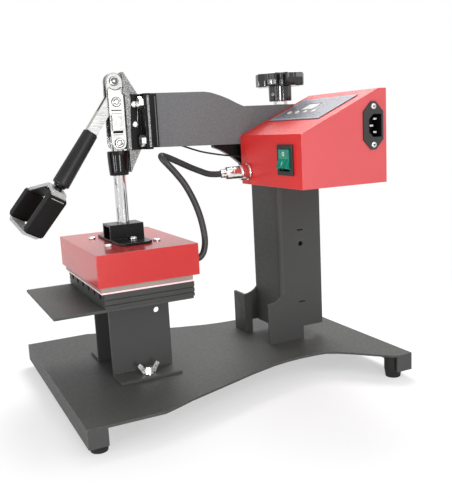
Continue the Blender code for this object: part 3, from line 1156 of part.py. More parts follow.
for sz in (-1, 1):
    z = INLET_Z + sz * INLET_SCREW_PITCH / 2
    boolean(shell, "DIFFERENCE", turned(
        rod(INLET_SCREW_RADIUS + GAP, BOX_RIGHT - w - OVER, BOX_RIGHT + OVER), "X", (0, INLET_Y, z), 12))
    boolean(inlet, "UNION", turned(
        [(0, BOX_RIGHT - w - OVER), (INLET_SCREW_RADIUS, BOX_RIGHT - w - OVER),
         (INLET_SCREW_RADIUS, inlet_front - WELD), (INLET_SCREW_HEAD_RADIUS, inlet_front - WELD),
         (INLET_SCREW_HEAD_RADIUS, inlet_front + INLET_SCREW_HEAD / 2),
         (INLET_SCREW_HEAD_RADIUS * SCREW_DOME_SHARE, inlet_front + INLET_SCREW_HEAD),
         (0, inlet_front + INLET_SCREW_HEAD)],
        "X", (0, INLET_Y, z), 16))

# Round connector in the front wall, its plug, and the cable to the head
spot = (CONNECTOR_X, 0, CONNECTOR_Z)
flange_front = BOX_FRONT - GAP - SOCKET_FLANGE
node("cable_socket", turned(
    [(0, flange_front), (SOCKET_FLANGE_RADIUS, flange_front), (SOCKET_FLANGE_RADIUS, BOX_FRONT - GAP),
     (SOCKET_BODY_RADIUS, BOX_FRONT - GAP), (SOCKET_BODY_RADIUS, BOX_FRONT + SOCKET_BODY_DEPTH),
     (0, BOX_FRONT + SOCKET_BODY_DEPTH)], "Y", spot, 24), "zinc", pivot, True)
boolean(shell, "DIFFERENCE", turned(
    rod(SOCKET_BODY_RADIUS + GAP, BOX_FRONT - OVER, BOX_FRONT + w + OVER), "Y", spot, 24))
ring_back = flange_front - GAP
ring_front = ring_back - PLUG_RING_LENGTH
body_front = ring_front - PLUG_BODY_LENGTH
tail_front = body_front - PLUG_TAIL_LENGTH
node("cable_plug", turned(
    [(0, tail_front), (PLUG_TAIL_RADIUS, tail_front), (PLUG_TAIL_RADIUS, body_front),
     (PLUG_BODY_RADIUS, body_front), (PLUG_BODY_RADIUS, ring_front), (PLUG_RING_RADIUS, ring_front),
     (PLUG_RING_RADIUS, ring_back), (0, ring_back)], "Y", spot, 24), "zinc", pivot, True)


def smooth_route(points, step):
    """Points a fixed step apart along a Catmull-Rom curve from the second point to the last but one."""
    pts = [Vector(p) for p in points]
    fine = []
    for a, b, c2, d in zip(pts, pts[1:], pts[2:], pts[3:]):
        for k in range(CURVE_STEPS):
            s = k / CURVE_STEPS
            fine.append(0.5 * ((2 * b) + (c2 - a) * s + (2 * a - 5 * b + 4 * c2 - d) * s ** 2
                               + (3 * b - a - 3 * c2 + d) * s ** 3))
    fine.append(pts[-2])
    length = sum((q - p).length for p, q in zip(fine, fine[1:]))
    count = max(2, round(length / step))
    out, run, k = [fine[0]], 0.0, 1
    for p, q in zip(fine, fine[1:]):
        seg = (q - p).length
        while k < count and run + seg >= length * k / count:
            out.append(p.lerp(q, (length * k / count - run) / seg))
            k += 1
        run += seg
    out.append(fine[-1])
    return out, length


def cord(name, route, diameter, step, coat, resolution):
    """A round cord along a smooth curve, its ends closed."""
    points, length = smooth_route(route, step)
    points = [Vector(route[0])] + points + [Vector(route[-1])]
    length += (points[1] - points[0]).length + (points[-1] - points[-2]).length
    curve = bpy.data.curves.new(name, "CURVE")
    curve.dimensions = "3D"
    curve.bevel_depth = diameter / 2
    curve.bevel_resolution = resolution
    curve.use_fill_caps = True
    spline = curve.splines.new("POLY")
    spline.points.add(len(points) - 1)
    for item, p in zip(spline.points, points):
        item.co = (*p, 1.0)
    obj = bpy.data.objects.new(name, curve)
    bpy.context.collection.objects.link(obj)
    curve.materials.append(material(name, *COAT[coat]))
    return obj, length


CABLE_ROUTE = (
    (0.0315, 0.0137, 0.2438), (0.0315, 0.0090, 0.2438), (0.0322, -0.0010, 0.2452),
    (0.0338, -0.0125, 0.2495), (0.0358, -0.0240, 0.2543), (0.0378, -0.0345, 0.2592),
    (0.0398, -0.0440, 0.2636), (0.0420, -0.0525, 0.2672), (0.0452, -0.0592, 0.2693),
    (0.0492, -0.0622, 0.2688), (0.0530, -0.0618, 0.2655), (0.0555, -0.0570, 0.2594),
    (0.0564, -0.0492, 0.2500), (0.0572, -0.0412, 0.2390), (0.0580, -0.0347, 0.2268),
    (0.0587, -0.0296, 0.2146), (0.0594, -0.0255, 0.2010), (0.0599, -0.0230, 0.1880),
    (0.0600, -0.0219, 0.1775), (0.0600, -0.0224, 0.1690), (0.0600, -0.0249, 0.1612),
    (0.0600, -0.0300, 0.1563), (0.0600, -0.0354, 0.1560),
)
cable, cable_length = cord("head_cable", CABLE_ROUTE, CABLE_DIAMETER, CABLE_STEP, "rubber", 3)
print("head cable length", round(cable_length, 4))

WIRE_ROUTE = (
    (0.0000, -0.0537, 0.2900), (0.0000, -0.0460, 0.2885), (0.0000, -0.0340, 0.2838),
    (0.0000, -0.0240, 0.2799), (0.0000, -0.0151, 0.2767), (0.0000, -0.0070, 0.2737),
    (0.0002, 0.0020, 0.2706), (0.0010, 0.0110, 0.2681), (0.0022, 0.0220, 0.2657),
    (0.0038, 0.0325, 0.2637), (0.0056, 0.0410, 0.2625), (0.0066, 0.0470, 0.2617),
    (0.0076, 0.0525, 0.2609), (0.0092, 0.0563, 0.2605), (0.0112, 0.0575, 0.2605),
    (0.0130, 0.0575, 0.2605),
)
wire, wire_length = cord("sensor_wire", WIRE_ROUTE, WIRE_DIAMETER, CABLE_STEP / 2, "rubber", 2)

# Centre the whole press, cable left out, on the origin along Y
bpy.context.view_layer.update()
graph = bpy.context.evaluated_depsgraph_get()
spans = []
for obj in bpy.data.objects:
    if obj.hide_render or obj.name in ("head_cable", "cable_plug"):
        continue
    solid = obj.evaluated_get(graph)
    spans += [(solid.matrix_world @ vert.co).y for vert in solid.to_mesh().vertices]
shift = -(min(spans) + max(spans)) / 2
for obj in bpy.data.objects:
    obj.location.y += shift
print("shift along Y", round(shift, 8))
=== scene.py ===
"""Dressed model of the pen heat press: materials, finer pieces, light, floor and camera."""

import math

import bmesh
import bpy
from mathutils import Matrix, Vector


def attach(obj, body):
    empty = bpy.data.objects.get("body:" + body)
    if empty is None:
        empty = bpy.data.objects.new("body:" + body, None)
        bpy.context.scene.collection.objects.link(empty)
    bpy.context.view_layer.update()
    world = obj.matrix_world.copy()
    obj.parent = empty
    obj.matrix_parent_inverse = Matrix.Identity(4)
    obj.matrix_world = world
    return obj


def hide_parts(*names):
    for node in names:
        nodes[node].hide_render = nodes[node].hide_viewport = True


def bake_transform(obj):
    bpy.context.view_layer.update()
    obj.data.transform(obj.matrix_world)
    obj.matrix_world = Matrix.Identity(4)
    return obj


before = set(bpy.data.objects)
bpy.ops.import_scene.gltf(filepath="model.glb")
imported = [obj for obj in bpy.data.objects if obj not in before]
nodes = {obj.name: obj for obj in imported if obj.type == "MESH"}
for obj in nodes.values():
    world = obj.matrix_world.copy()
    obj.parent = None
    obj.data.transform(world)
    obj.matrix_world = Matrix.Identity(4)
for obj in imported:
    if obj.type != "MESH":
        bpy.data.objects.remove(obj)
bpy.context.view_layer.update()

# Places are in millimetres about the base plate's centre, with the bench at zero
SHIFT = 9.87994
MM = 0.001


def at(x, y, z):
    """A point in the frame from millimetres about the base plate's centre."""
    return Vector((x * MM, (y + SHIFT) * MM, z * MM))


def seat(name):
    """Middle of a CAD node's box, in millimetres to two decimals about the base plate's centre."""
    node = nodes[name]
    corners = [node.matrix_world @ Vector(corner) for corner in node.bound_box]
    x, y, z = ((min(c[k] for c in corners) + max(c[k] for c in corners)) / 2 / MM for k in range(3))
    return round(x, 2), round(y - SHIFT, 2), round(z, 2)


_, CLAMP_Y, TOP_PIN_Z = seat("top_pin")
CRANK_Z = seat("crank_pin")[2]
LINK_END_Z = 285.0
POST_Y = seat("pivot_post")[1]
CONNECTOR_X, _, CONNECTOR_Z = seat("cable_socket")
_, INLET_Y, INLET_Z = seat("mains_inlet")
GLAND_X, _, GLAND_Z = seat("cable_gland")


# Camera, placed as the photograph was taken
def aim_camera():
    turn, rise, roll = math.radians(64.5), math.radians(10.3), math.radians(-3.0)
    focal_pixels, picture_pixels, sensor = 677.7, 500, 36
    place = at(733.1, -317.9, 296.5)
    back = Vector((math.sin(turn) * math.cos(rise), -math.cos(turn) * math.cos(rise), math.sin(rise)))
    right = (-back).cross(Vector((0, 0, 1))).normalized()
    up = right.cross(-back)
    across = math.cos(roll) * right + math.sin(roll) * up
    above = -math.sin(roll) * right + math.cos(roll) * up
    lens = bpy.data.cameras.new("camera")
    lens.lens = focal_pixels / picture_pixels * sensor
    lens.sensor_width = sensor
    lens.clip_start = 0.01
    lens.clip_end = 20
    camera = bpy.data.objects.new("camera", lens)
    camera.matrix_world = Matrix.Translation(place) @ Matrix((across, above, back)).transposed().to_4x4()
    bpy.context.scene.collection.objects.link(camera)
    bpy.context.scene.camera = camera


aim_camera()


# Materials
class Look:
    """A Principled material with object-space textures."""

    def __init__(self, name, **values):
        self.mat = bpy.data.materials.new(name)
        self.mat.use_nodes = True
        self.tree = self.mat.node_tree
        self.shader = self.tree.nodes["Principled BSDF"]
        self.place = self.tree.nodes.new("ShaderNodeTexCoord").outputs["Object"]
        for key, value in values.items():
            self.shader.inputs[key].default_value = value

    def link(self, a, b):
        self.tree.links.new(a, b)

    def stretch(self, scale):
        """The piece's own coordinates, scaled along each axis."""
        mapping = self.tree.nodes.new("ShaderNodeMapping")
        mapping.inputs["Scale"].default_value = scale
        self.link(self.place, mapping.inputs["Vector"])
        return mapping.outputs["Vector"]

    def noise(self, scale, detail=3.0, roughness=0.5, vector=None, kind="Fac"):
        tex = self.tree.nodes.new("ShaderNodeTexNoise")
        tex.inputs["Scale"].default_value = scale
        tex.inputs["Detail"].default_value = detail
        tex.inputs["Roughness"].default_value = roughness
        self.link(vector or self.place, tex.inputs["Vector"])
        return tex.outputs[kind]

    def cells(self, scale, vector):
        tex = self.tree.nodes.new("ShaderNodeTexVoronoi")
        tex.inputs["Scale"].default_value = scale
        self.link(vector, tex.inputs["Vector"])
        return tex.outputs["Distance"]

    def spread(self, value, low, high, to_low=0.0, to_high=1.0):
        """Run smoothly from one value to another while the input goes from low to high."""
        node = self.tree.nodes.new("ShaderNodeMapRange")
        node.interpolation_type = "SMOOTHSTEP"
        node.inputs["From Min"].default_value = low
        node.inputs["From Max"].default_value = high
        node.inputs["To Min"].default_value = to_low
        node.inputs["To Max"].default_value = to_high
        self.link(value, node.inputs["Value"])
        return node.outputs["Result"]

    def vary(self, value, to_low=0.0, to_high=1.0):
        """Spread a noise's middle range between two values."""
        return self.spread(value, 0.3, 0.7, to_low, to_high)

    def mix(self, factor, a, b):
        node = self.tree.nodes.new("ShaderNodeMix")
        node.data_type = "RGBA"
        self.link(factor, node.inputs[0])
        for value, socket in ((a, node.inputs[6]), (b, node.inputs[7])):
            if isinstance(value, tuple):
                socket.default_value = (*value, 1.0)
            else:
                self.link(value, socket)
        return node.outputs[2]

    def math(self, kind, a, b):
        node = self.tree.nodes.new("ShaderNodeMath")
        node.operation = kind
        for value, socket in ((a, node.inputs[0]), (b, node.inputs[1])):
            if isinstance(value, (int, float)):
                socket.default_value = value
            else:
                self.link(value, socket)
        return node.outputs["Value"]

    def axes(self, vector):
        """A vector's three parts."""
        split = self.tree.nodes.new("ShaderNodeSeparateXYZ")
        self.link(vector, split.inputs["Vector"])
        return split.outputs

    def facing(self, axis):
        """How far the surface faces along one of the piece's own axes."""
        return self.axes(self.tree.nodes.new("ShaderNodeTexCoord").outputs["Normal"])[axis]

    def worn_edges(self):
        """1 where an edge would be rubbed, 0 on the faces."""
        bevel = self.tree.nodes.new("ShaderNodeBevel")
        bevel.samples = 4
        bevel.inputs["Radius"].default_value = 0.7 * MM
        geometry = self.tree.nodes.new("ShaderNodeNewGeometry")
        dot = self.tree.nodes.new("ShaderNodeVectorMath")
        dot.operation = "DOT_PRODUCT"
        self.link(bevel.outputs["Normal"], dot.inputs[0])
        self.link(geometry.outputs["Normal"], dot.inputs[1])
        turned = self.spread(self.math("SUBTRACT", 1.0, dot.outputs["Value"]), 0.02, 0.12)
        return self.math("MULTIPLY", turned, self.spread(self.noise(420.0, 4.0), 0.35, 0.62))

    def height(self, value, strength, distance):
        """Bump the surface by a distance in millimetres."""
        bump = self.tree.nodes.new("ShaderNodeBump")
        bump.inputs["Strength"].default_value = strength
        bump.inputs["Distance"].default_value = distance * MM
        self.link(value, bump.inputs["Height"])
        self.link(bump.outputs["Normal"], self.shader.inputs["Normal"])

    def colour(self, value):
        self.link(value, self.shader.inputs["Base Color"])

    def rough(self, value):
        self.link(value, self.shader.inputs["Roughness"])


def grey(tone):
    """The colour of a grey."""
    return (tone, tone, tone)


# Finishes, with the depths of their bumps in millimetres
def painted(name, dark, light, rough, grain, depth, worn=None, shine=0.5, blotch=14.0, strength=0.5):
    """Paint or moulded plastic: soft blotches, fine grain and rubbed edges."""
    look = Look(name, **{"Specular IOR Level": shine})
    base = look.mix(look.vary(look.noise(blotch, 4.0)), dark, light)
    if worn:
        base = look.mix(look.worn_edges(), base, worn)
    look.colour(base)
    look.rough(look.vary(look.noise(grain * 0.2, 5.0), rough - 0.02, rough + 0.03))
    look.height(look.noise(grain, 2.0), strength, depth)
    return look.mat


def bright(name, colour, rough, brush, depth, stain, amount):
    """Bare or plated metal with tooling lines and slight staining."""
    look = Look(name, Metallic=1.0)
    lines = look.noise(1.0, 4.0, 0.6, look.stretch(brush))
    spots = look.spread(look.noise(160.0, 5.0), 0.50, 0.72, 0.0, amount)
    look.colour(look.mix(spots, colour, stain))
    look.rough(look.vary(lines, rough * 0.6, rough * 1.5))
    look.height(lines, 0.35, depth)
    return look.mat


def hammered(name, dark, light, scale, depth, rough, contrast):
    """Hammer-finish paint: wrinkled cells with darker rims."""
    look = Look(name)
    wobble = look.noise(scale * 0.6, 3.0, 0.6, None, "Color")
    node = look.tree.nodes.new("ShaderNodeVectorMath")
    node.operation = "MULTIPLY_ADD"
    node.inputs[1].default_value = (0.7 / scale,) * 3
    look.link(wobble, node.inputs[0])
    look.link(look.place, node.inputs[2])
    cell = look.cells(scale, node.outputs[0])
    fine = look.noise(scale * 2.2, 4.0, 0.6)
    height = look.math("ADD", cell, look.math("MULTIPLY", fine, 0.7))
    look.colour(look.mix(look.spread(height, *contrast), light, dark))
    look.rough(look.vary(fine, rough - 0.08, rough + 0.10))
    look.height(height, 0.5, -depth)
    return look.mat


def rocker_look():
    """Tinted translucent plastic of a lighted switch."""
    look = Look("rocker_green", **{"Transmission Weight": 0.15, "Specular IOR Level": 0.3,
                                   "Subsurface Weight": 0.2, "Subsurface Scale": 4 * MM})
    look.colour(look.mix(look.vary(look.noise(90.0, 3.0)), (0.000, 0.200, 0.130), (0.004, 0.270, 0.180)))
    look.rough(look.vary(look.noise(600.0, 3.0), 0.10, 0.20))
    look.height(look.noise(900.0, 2.0), 0.3, 0.02)
    return look.mat


def film_look():
    """Printed control film: blue-grey, lighter up the slope, with soft clouds."""
    look = Look("film", **{"Specular IOR Level": 0.3})
    rise = look.spread(look.axes(look.place)["Y"], -35 * MM, 22 * MM)
    cloud = look.math("MULTIPLY", look.noise(16.0, 2.0), 0.25)
    tone = look.spread(look.math("ADD", rise, cloud), 0.10, 1.15)
    look.colour(look.mix(tone, (0.012, 0.028, 0.048), (0.19, 0.19, 0.225)))
    look.rough(look.vary(look.noise(300.0, 3.0), 0.27, 0.32))
    look.height(look.noise(2400.0, 2.0), 0.2, 0.003)
    return look.mat


def plate_look(name, face, shade_tone, axis):
    """Ground steel plate: bright on the faces across one axis, with painted shade darkening its walls."""
    look = Look(name, Metallic=1.0)
    flat = look.spread(look.math("ABSOLUTE", look.facing(axis), 0.0), 0.35, 0.80)
    lines = look.noise(1.0, 4.0, 0.6, look.stretch((400.0, 90.0, 900.0)))
    tone = look.mix(look.vary(lines, 0.0, 0.35), face, tuple(0.86 * c for c in face))
    # painted shade: the walls take the dark tone
    look.colour(look.mix(flat, shade_tone, tone))
    look.rough(look.vary(lines, 0.20, 0.34))
    look.height(lines, 0.3, 0.008)
    return look.mat


def lit_and_shaded(name, axis, shade_tone, face, rough, shine, worn):
    """Sprayed enamel with painted light: faces towards one axis paler, the rest darker as painted shade."""
    look = Look(name, **{"Specular IOR Level": shine})
    turned = look.spread(look.facing(axis), 0.45, 0.85)
    blotch = look.vary(look.noise(12.0, 4.0), 0.0, 0.14)
    base = look.mix(blotch, look.mix(turned, shade_tone, face), tuple(0.6 * c for c in shade_tone))
    look.colour(look.mix(look.worn_edges(), base, worn))
    look.rough(look.vary(look.noise(260.0, 5.0), rough - 0.05, rough + 0.06))
    look.height(look.noise(1400.0, 2.0), 0.5, 0.05)
    return look.mat


M = {
    # sprayed and hammered metal
    "bracket_black": painted("bracket_black", grey(0.004), grey(0.007), 0.24, 900.0, 0.05, grey(0.07),
                             0.16),
    "red": painted("red", (0.40, 0.012, 0.012), (0.43, 0.015, 0.015), 0.20, 1100.0, 0.01,
                   (0.62, 0.14, 0.13), blotch=9.0, strength=0.2),
    # box shell: faces towards +X painted paler as lit, the other faces darker as painted shade
    "red_shell": lit_and_shaded("red_shell", "X", (0.60, 0.026, 0.025), (0.49, 0.082, 0.088), 0.38, 0.20,
                       (0.68, 0.16, 0.15)),
    # powder coat: upward faces painted paler as lit, the rest darker as painted shade
    "powder": lit_and_shaded("powder", "Z", (0.046, 0.048, 0.046), (0.070, 0.072, 0.069), 0.52, 0.22,
                    (0.15, 0.15, 0.145)),
    "arm": hammered("arm_paint", (0.084, 0.084, 0.088), (0.158, 0.158, 0.163), 900.0, 0.06, 0.46,
                    (0.28, 0.90)),
    "casting": hammered("casting_paint", grey(0.14), (0.72, 0.72, 0.71), 800.0, 0.12, 0.40, (0.30, 0.90)),
    "loop": painted("loop", grey(0.34), grey(0.40), 0.46, 1800.0, 0.05, (0.56, 0.56, 0.55), 0.3),
    "platen": painted("platen_coat", (0.034, 0.035, 0.033), (0.046, 0.047, 0.044), 0.50, 1300.0, 0.05,
                      (0.12, 0.12, 0.115), 0.2),
    "heater": painted("heater", (0.20, 0.155, 0.135), (0.27, 0.22, 0.19), 0.46, 500.0, 0.08,
                      (0.40, 0.36, 0.33)),
    # bare and plated metal
    "steel": bright("steel", (0.64, 0.64, 0.63), 0.22, (500.0, 500.0, 120.0), 0.01,
                    (0.50, 0.50, 0.49), 0.2),
    "rod": bright("rod", grey(0.64), 0.08, (2200.0, 2200.0, 60.0), 0.005, (0.62, 0.62, 0.61), 0.12),
    "zinc": bright("zinc", (0.74, 0.74, 0.72), 0.30, (500.0, 500.0, 500.0), 0.01, (0.50, 0.50, 0.48), 0.3),
    "nickel": bright("nickel", (0.80, 0.79, 0.76), 0.14, (900.0, 200.0, 900.0), 0.008,
                     (0.50, 0.48, 0.44), 0.2),
    # link and fork plates: the second tone is painted shade on their walls
    "link": plate_look("link_plate", (0.62, 0.62, 0.61), grey(0.06), "X"),
    "fork": plate_look("fork_plate", (0.44, 0.44, 0.43), (0.30, 0.30, 0.29), "X"),
    # rubber and plastic
    "grip": painted("grip", (0.009, 0.009, 0.010), (0.016, 0.016, 0.017), 0.36, 1400.0, 0.04, shine=0.22),
    "pad": painted("pad_rubber", grey(0.007), grey(0.012), 0.50, 1600.0, 0.06, shine=0.12),
    "rubber": painted("rubber", grey(0.008), grey(0.014), 0.58, 1500.0, 0.07, shine=0.2),
    "silicone": painted("silicone", (0.80, 0.50, 0.52), (0.88, 0.60, 0.61), 0.55, 900.0, 0.05),
    "cable": painted("cable_jacket", grey(0.016), grey(0.026), 0.40, 900.0, 0.04, shine=0.35),
    "gloss": painted("gloss_plastic", grey(0.003), grey(0.005), 0.13, 700.0, 0.01, shine=0.24),
    "knob": painted("knob_plastic", grey(0.003), grey(0.005), 0.10, 700.0, 0.01, shine=0.7),
    "bezel": painted("bezel_plastic", (0.016, 0.017, 0.016), (0.024, 0.025, 0.024), 0.36, 1700.0, 0.04,
                     shine=0.2),
    "inlet": painted("inlet_plastic", (0.026, 0.025, 0.025), (0.036, 0.034, 0.034), 0.46, 1700.0, 0.04,
                     shine=0.2),
    # pit: flat black for painted shade in gaps, grooves and recesses, and for the printed frame round the
    # display
    "pit": painted("shade_and_print_black", grey(0.002), grey(0.005), 0.60, 1700.0, 0.04, shine=0.1),
    "rocker": rocker_look(),
    # panel print, display, keys, marks and shaded lines
    "film": film_look(),
    "display": painted("display", (0.80, 0.81, 0.83), (0.86, 0.86, 0.87), 0.16, 300.0, 0.01),
    "key": painted("key", (0.58, 0.58, 0.48), (0.68, 0.67, 0.57), 0.34, 700.0, 0.03, shine=0.3),
    "shade": painted("shade", (0.075, 0.073, 0.070), (0.130, 0.127, 0.123), 0.45, 900.0, 0.03, shine=0.2),
    "mark": painted("mark", (0.72, 0.86, 0.82), (0.84, 0.92, 0.90), 0.35, 700.0, 0.01),
    "film_line": painted("film_line", (0.42, 0.45, 0.50), (0.52, 0.55, 0.59), 0.34, 700.0, 0.01,
                         shine=0.3),
}


# Mesh helpers
def piece(name, bm, look, body, replaces=(), bevel=0.0, smooth=True, angle=35):
    """A finished piece in the frame's coordinates, riding on a body; its bevel is in millimetres."""
    mesh = bpy.data.meshes.new(name)
    bmesh.ops.remove_doubles(bm, verts=bm.verts, dist=0.005 * MM)
    bmesh.ops.recalc_face_normals(bm, faces=bm.faces)
    bm.to_mesh(mesh)
    bm.free()
    obj = bpy.data.objects.new(name, mesh)
    bpy.context.scene.collection.objects.link(obj)
    mesh.materials.append(M[look])
    if smooth:
        mesh.shade_smooth()
        mesh.set_sharp_from_angle(angle=math.radians(angle))
    if bevel:
        soften(obj, bevel, 3, angle)
    if replaces:
        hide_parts(*replaces)
    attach(obj, body)


def soften(obj, width, segments, angle=30):
    """Bevel the edges sharper than an angle, by a width in millimetres."""
    mod = obj.modifiers.new("Bevel", "BEVEL")
    mod.width = width * MM
    mod.segments = segments
    mod.limit_method = "ANGLE"
    mod.angle_limit = math.radians(angle)
    mod.harden_normals = True
    mod.miter_outer = "MITER_ARC"


def dress(name, look, bevel=0.0, segments=2):
    """Give a CAD node its finish and soften its edges by a width in millimetres."""
    obj = nodes[name]
    obj.data.materials.clear()
    obj.data.materials.append(M[look])
    if bevel:
        weld = obj.modifiers.new("Weld", "WELD")
        weld.merge_threshold = 0.01 * MM
        soften(obj, bevel, segments)


def span(direction):
    """A turn that takes +Z to a direction."""
    return Vector((0, 0, 1)).rotation_difference(Vector(direction).normalized()).to_matrix().to_4x4()


def frame_of(origin, x_axis, y_axis, z_axis):
    """The placing whose axes are the three directions."""
    return Matrix.Translation(origin) @ Matrix((x_axis, y_axis, z_axis)).transposed().to_4x4()


def lathe(profile, place, direction=(0, 0, 1), segments=48, ring=False, wobble=None, dent=None):
    """Spin (radius, height) millimetres round an axis; ring closes the profile on itself.

    The functions wobble and dent scale a point's radius and lower it.
    """
    bm = bmesh.new()
    turn = Matrix.Translation(place) @ span(direction)
    rings = []
    for radius, height in profile:
        if radius == 0:
            z = height - (dent(0.0, 0.0, height) if dent else 0.0)
            rings.append([bm.verts.new(turn @ Vector((0, 0, z * MM)))])
            continue
        row = []
        for k in range(segments):
            a = 2 * math.pi * k / segments
            r = radius * (wobble(a, height, radius) if wobble else 1.0)
            x, y = r * math.cos(a), r * math.sin(a)
            z = height - (dent(x, y, height) if dent else 0.0)
            row.append(bm.verts.new(turn @ Vector((x * MM, y * MM, z * MM))))
        rings.append(row)
    pairs = list(zip(rings, rings[1:] + rings[:1])) if ring else list(zip(rings, rings[1:]))
    for first, second in pairs:
        for k in range(segments):
            n = (k + 1) % segments
            corners = [first[k % len(first)], first[n % len(first)],
                       second[n % len(second)], second[k % len(second)]]
            unique = list(dict.fromkeys(corners))
            if len(unique) > 2:
                bm.faces.new(unique)
    return bm


def slab(points, axis, low, high, turn=None):
    """Extrude an outline in millimetres across an axis, or along Z and then turned."""
    bm = bmesh.new()

    def spot(a, b, c):
        if turn is not None:
            return turn @ Vector((a * MM, b * MM, c * MM))
        return {"X": at(c, a, b), "Y": at(a, c, b)}[axis]

    lower = [bm.verts.new(spot(a, b, low)) for a, b in points]
    upper = [bm.verts.new(spot(a, b, high)) for a, b in points]
    bm.faces.new(lower)
    bm.faces.new(upper[::-1])
    bridge(bm, lower, upper)
    return bm


def bridge(bm, first, second):
    """Join two closed rows of corners with faces."""
    count = len(first)
    for k in range(count):
        n = (k + 1) % count
        bm.faces.new([first[k], first[n], second[n], second[k]])


def layer(outline, side, near, far):
    """A slab on one side of the press, between two distances from its middle plane."""
    return slab(outline, "X", *sorted((side * near, side * far)))


def merge(*parts):
    """One bmesh from several."""
    out = bmesh.new()
    for part in parts:
        mesh = bpy.data.meshes.new("join")
        part.to_mesh(mesh)
        part.free()
        out.from_mesh(mesh)
        bpy.data.meshes.remove(mesh)
    return out


def rect(left, right, low, high):
    """Outline of a rectangle."""
    return [(left, low), (right, low), (right, high), (left, high)]


def round_corners(points, radius, steps=4):
    """Round every corner of an outline in millimetres."""
    out = []
    for k, here in enumerate(points):
        p = Vector(here)
        a = (Vector(points[k - 1]) - p).normalized()
        b = (Vector(points[(k + 1) % len(points)]) - p).normalized()
        reach = radius / math.tan(a.angle(b) / 2)
        first, last = p + a * reach, p + b * reach
        for s in range(steps + 1):
            t = s / steps
            out.append(tuple(first.lerp(p, t).lerp(p.lerp(last, t), t)))
    return out


def arc(across, up, radius, start, end, steps):
    """Points of an arc, its angles in radians."""
    return [(across + radius * math.cos(start + (end - start) * k / steps),
             up + radius * math.sin(start + (end - start) * k / steps)) for k in range(steps + 1)]


# Cords first: the head cable and the thin sensor wire
def route(points):
    """The CAD cord's own route: ends straight, a smooth curve between."""
    inner = [Vector(p) for p in points]
    fine = []
    for a, b, c, d in zip(inner, inner[1:], inner[2:], inner[3:]):
        for k in range(6):
            s = k / 6
            fine.append(0.5 * ((2 * b) + (c - a) * s + (2 * a - 5 * b + 4 * c - d) * s ** 2
                               + (3 * b - a - 3 * c + d) * s ** 3))
    fine = [inner[0]] + fine + [inner[-2], inner[-1]]
    return [p + Vector((0, SHIFT * MM, 0)) for p in fine]


def tube(name, path, diameter, look, segments=16):
    """A round tube along a path, its ends closed."""
    bm = bmesh.new()
    rows = []
    normal = Vector((0, 0, 1))
    for k, p in enumerate(path):
        ahead = (path[min(k + 1, len(path) - 1)] - path[max(k - 1, 0)]).normalized()
        normal = (normal - ahead * normal.dot(ahead)).normalized()
        side = ahead.cross(normal)
        rows.append([bm.verts.new(p + (normal * math.cos(a) + side * math.sin(a)) * diameter / 2)
                     for a in (2 * math.pi * s / segments for s in range(segments))])
    for first, second in zip(rows, rows[1:]):
        bridge(bm, first, second)
    bm.faces.new(rows[0][::-1])
    bm.faces.new(rows[-1])
    bmesh.ops.recalc_face_normals(bm, faces=bm.faces)
    mesh = bpy.data.meshes.new(name)
    bm.to_mesh(mesh)
    bm.free()
    mesh.materials.append(M[look])
    mesh.shade_smooth()
    mesh.set_sharp_from_angle(angle=math.radians(60))
    obj = bpy.data.objects.new(name, mesh)
    bpy.context.scene.collection.objects.link(obj)
    return obj


# Diameters and routes are in metres, as the CAD cords have them
CABLE_DIAMETER = 0.007
WIRE_DIAMETER = 0.002
CABLE_ROUTE = (
    (0.0315, 0.0137, 0.2438), (0.0315, 0.0090, 0.2438), (0.0322, -0.0010, 0.2452),
    (0.0338, -0.0125, 0.2495), (0.0358, -0.0240, 0.2543), (0.0378, -0.0345, 0.2592),
    (0.0398, -0.0440, 0.2636), (0.0420, -0.0525, 0.2672), (0.0452, -0.0592, 0.2693),
    (0.0492, -0.0622, 0.2688), (0.0530, -0.0618, 0.2655), (0.0555, -0.0570, 0.2594),
    (0.0564, -0.0492, 0.2500), (0.0572, -0.0412, 0.2390), (0.0580, -0.0347, 0.2268),
    (0.0587, -0.0296, 0.2146), (0.0594, -0.0255, 0.2010), (0.0599, -0.0230, 0.1880),
    (0.0600, -0.0219, 0.1775), (0.0600, -0.0224, 0.1690), (0.0600, -0.0249, 0.1612),
    (0.0600, -0.0300, 0.1563), (0.0600, -0.0354, 0.1560),
)
WIRE_ROUTE = (
    (0.0000, -0.0537, 0.2900), (0.0000, -0.0460, 0.2885), (0.0000, -0.0340, 0.2838),
    (0.0000, -0.0240, 0.2799), (0.0000, -0.0151, 0.2767), (0.0000, -0.0070, 0.2737),
    (0.0002, 0.0020, 0.2706), (0.0010, 0.0110, 0.2681), (0.0022, 0.0220, 0.2657),
    (0.0038, 0.0325, 0.2637), (0.0056, 0.0410, 0.2625), (0.0066, 0.0470, 0.2617),
    (0.0076, 0.0525, 0.2609), (0.0092, 0.0563, 0.2605), (0.0112, 0.0575, 0.2605),
    (0.0130, 0.0575, 0.2605),
)
cable_path = route(CABLE_ROUTE)
head_lead = tube("head_lead", cable_path, CABLE_DIAMETER, "cable")
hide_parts("head_cable")
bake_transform(head_lead)
wire_path = route(WIRE_ROUTE)
thin_lead = tube("thin_lead", wire_path, WIRE_DIAMETER, "rubber", 10)
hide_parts("sensor_wire")
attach(thin_lead, "swing_arm")

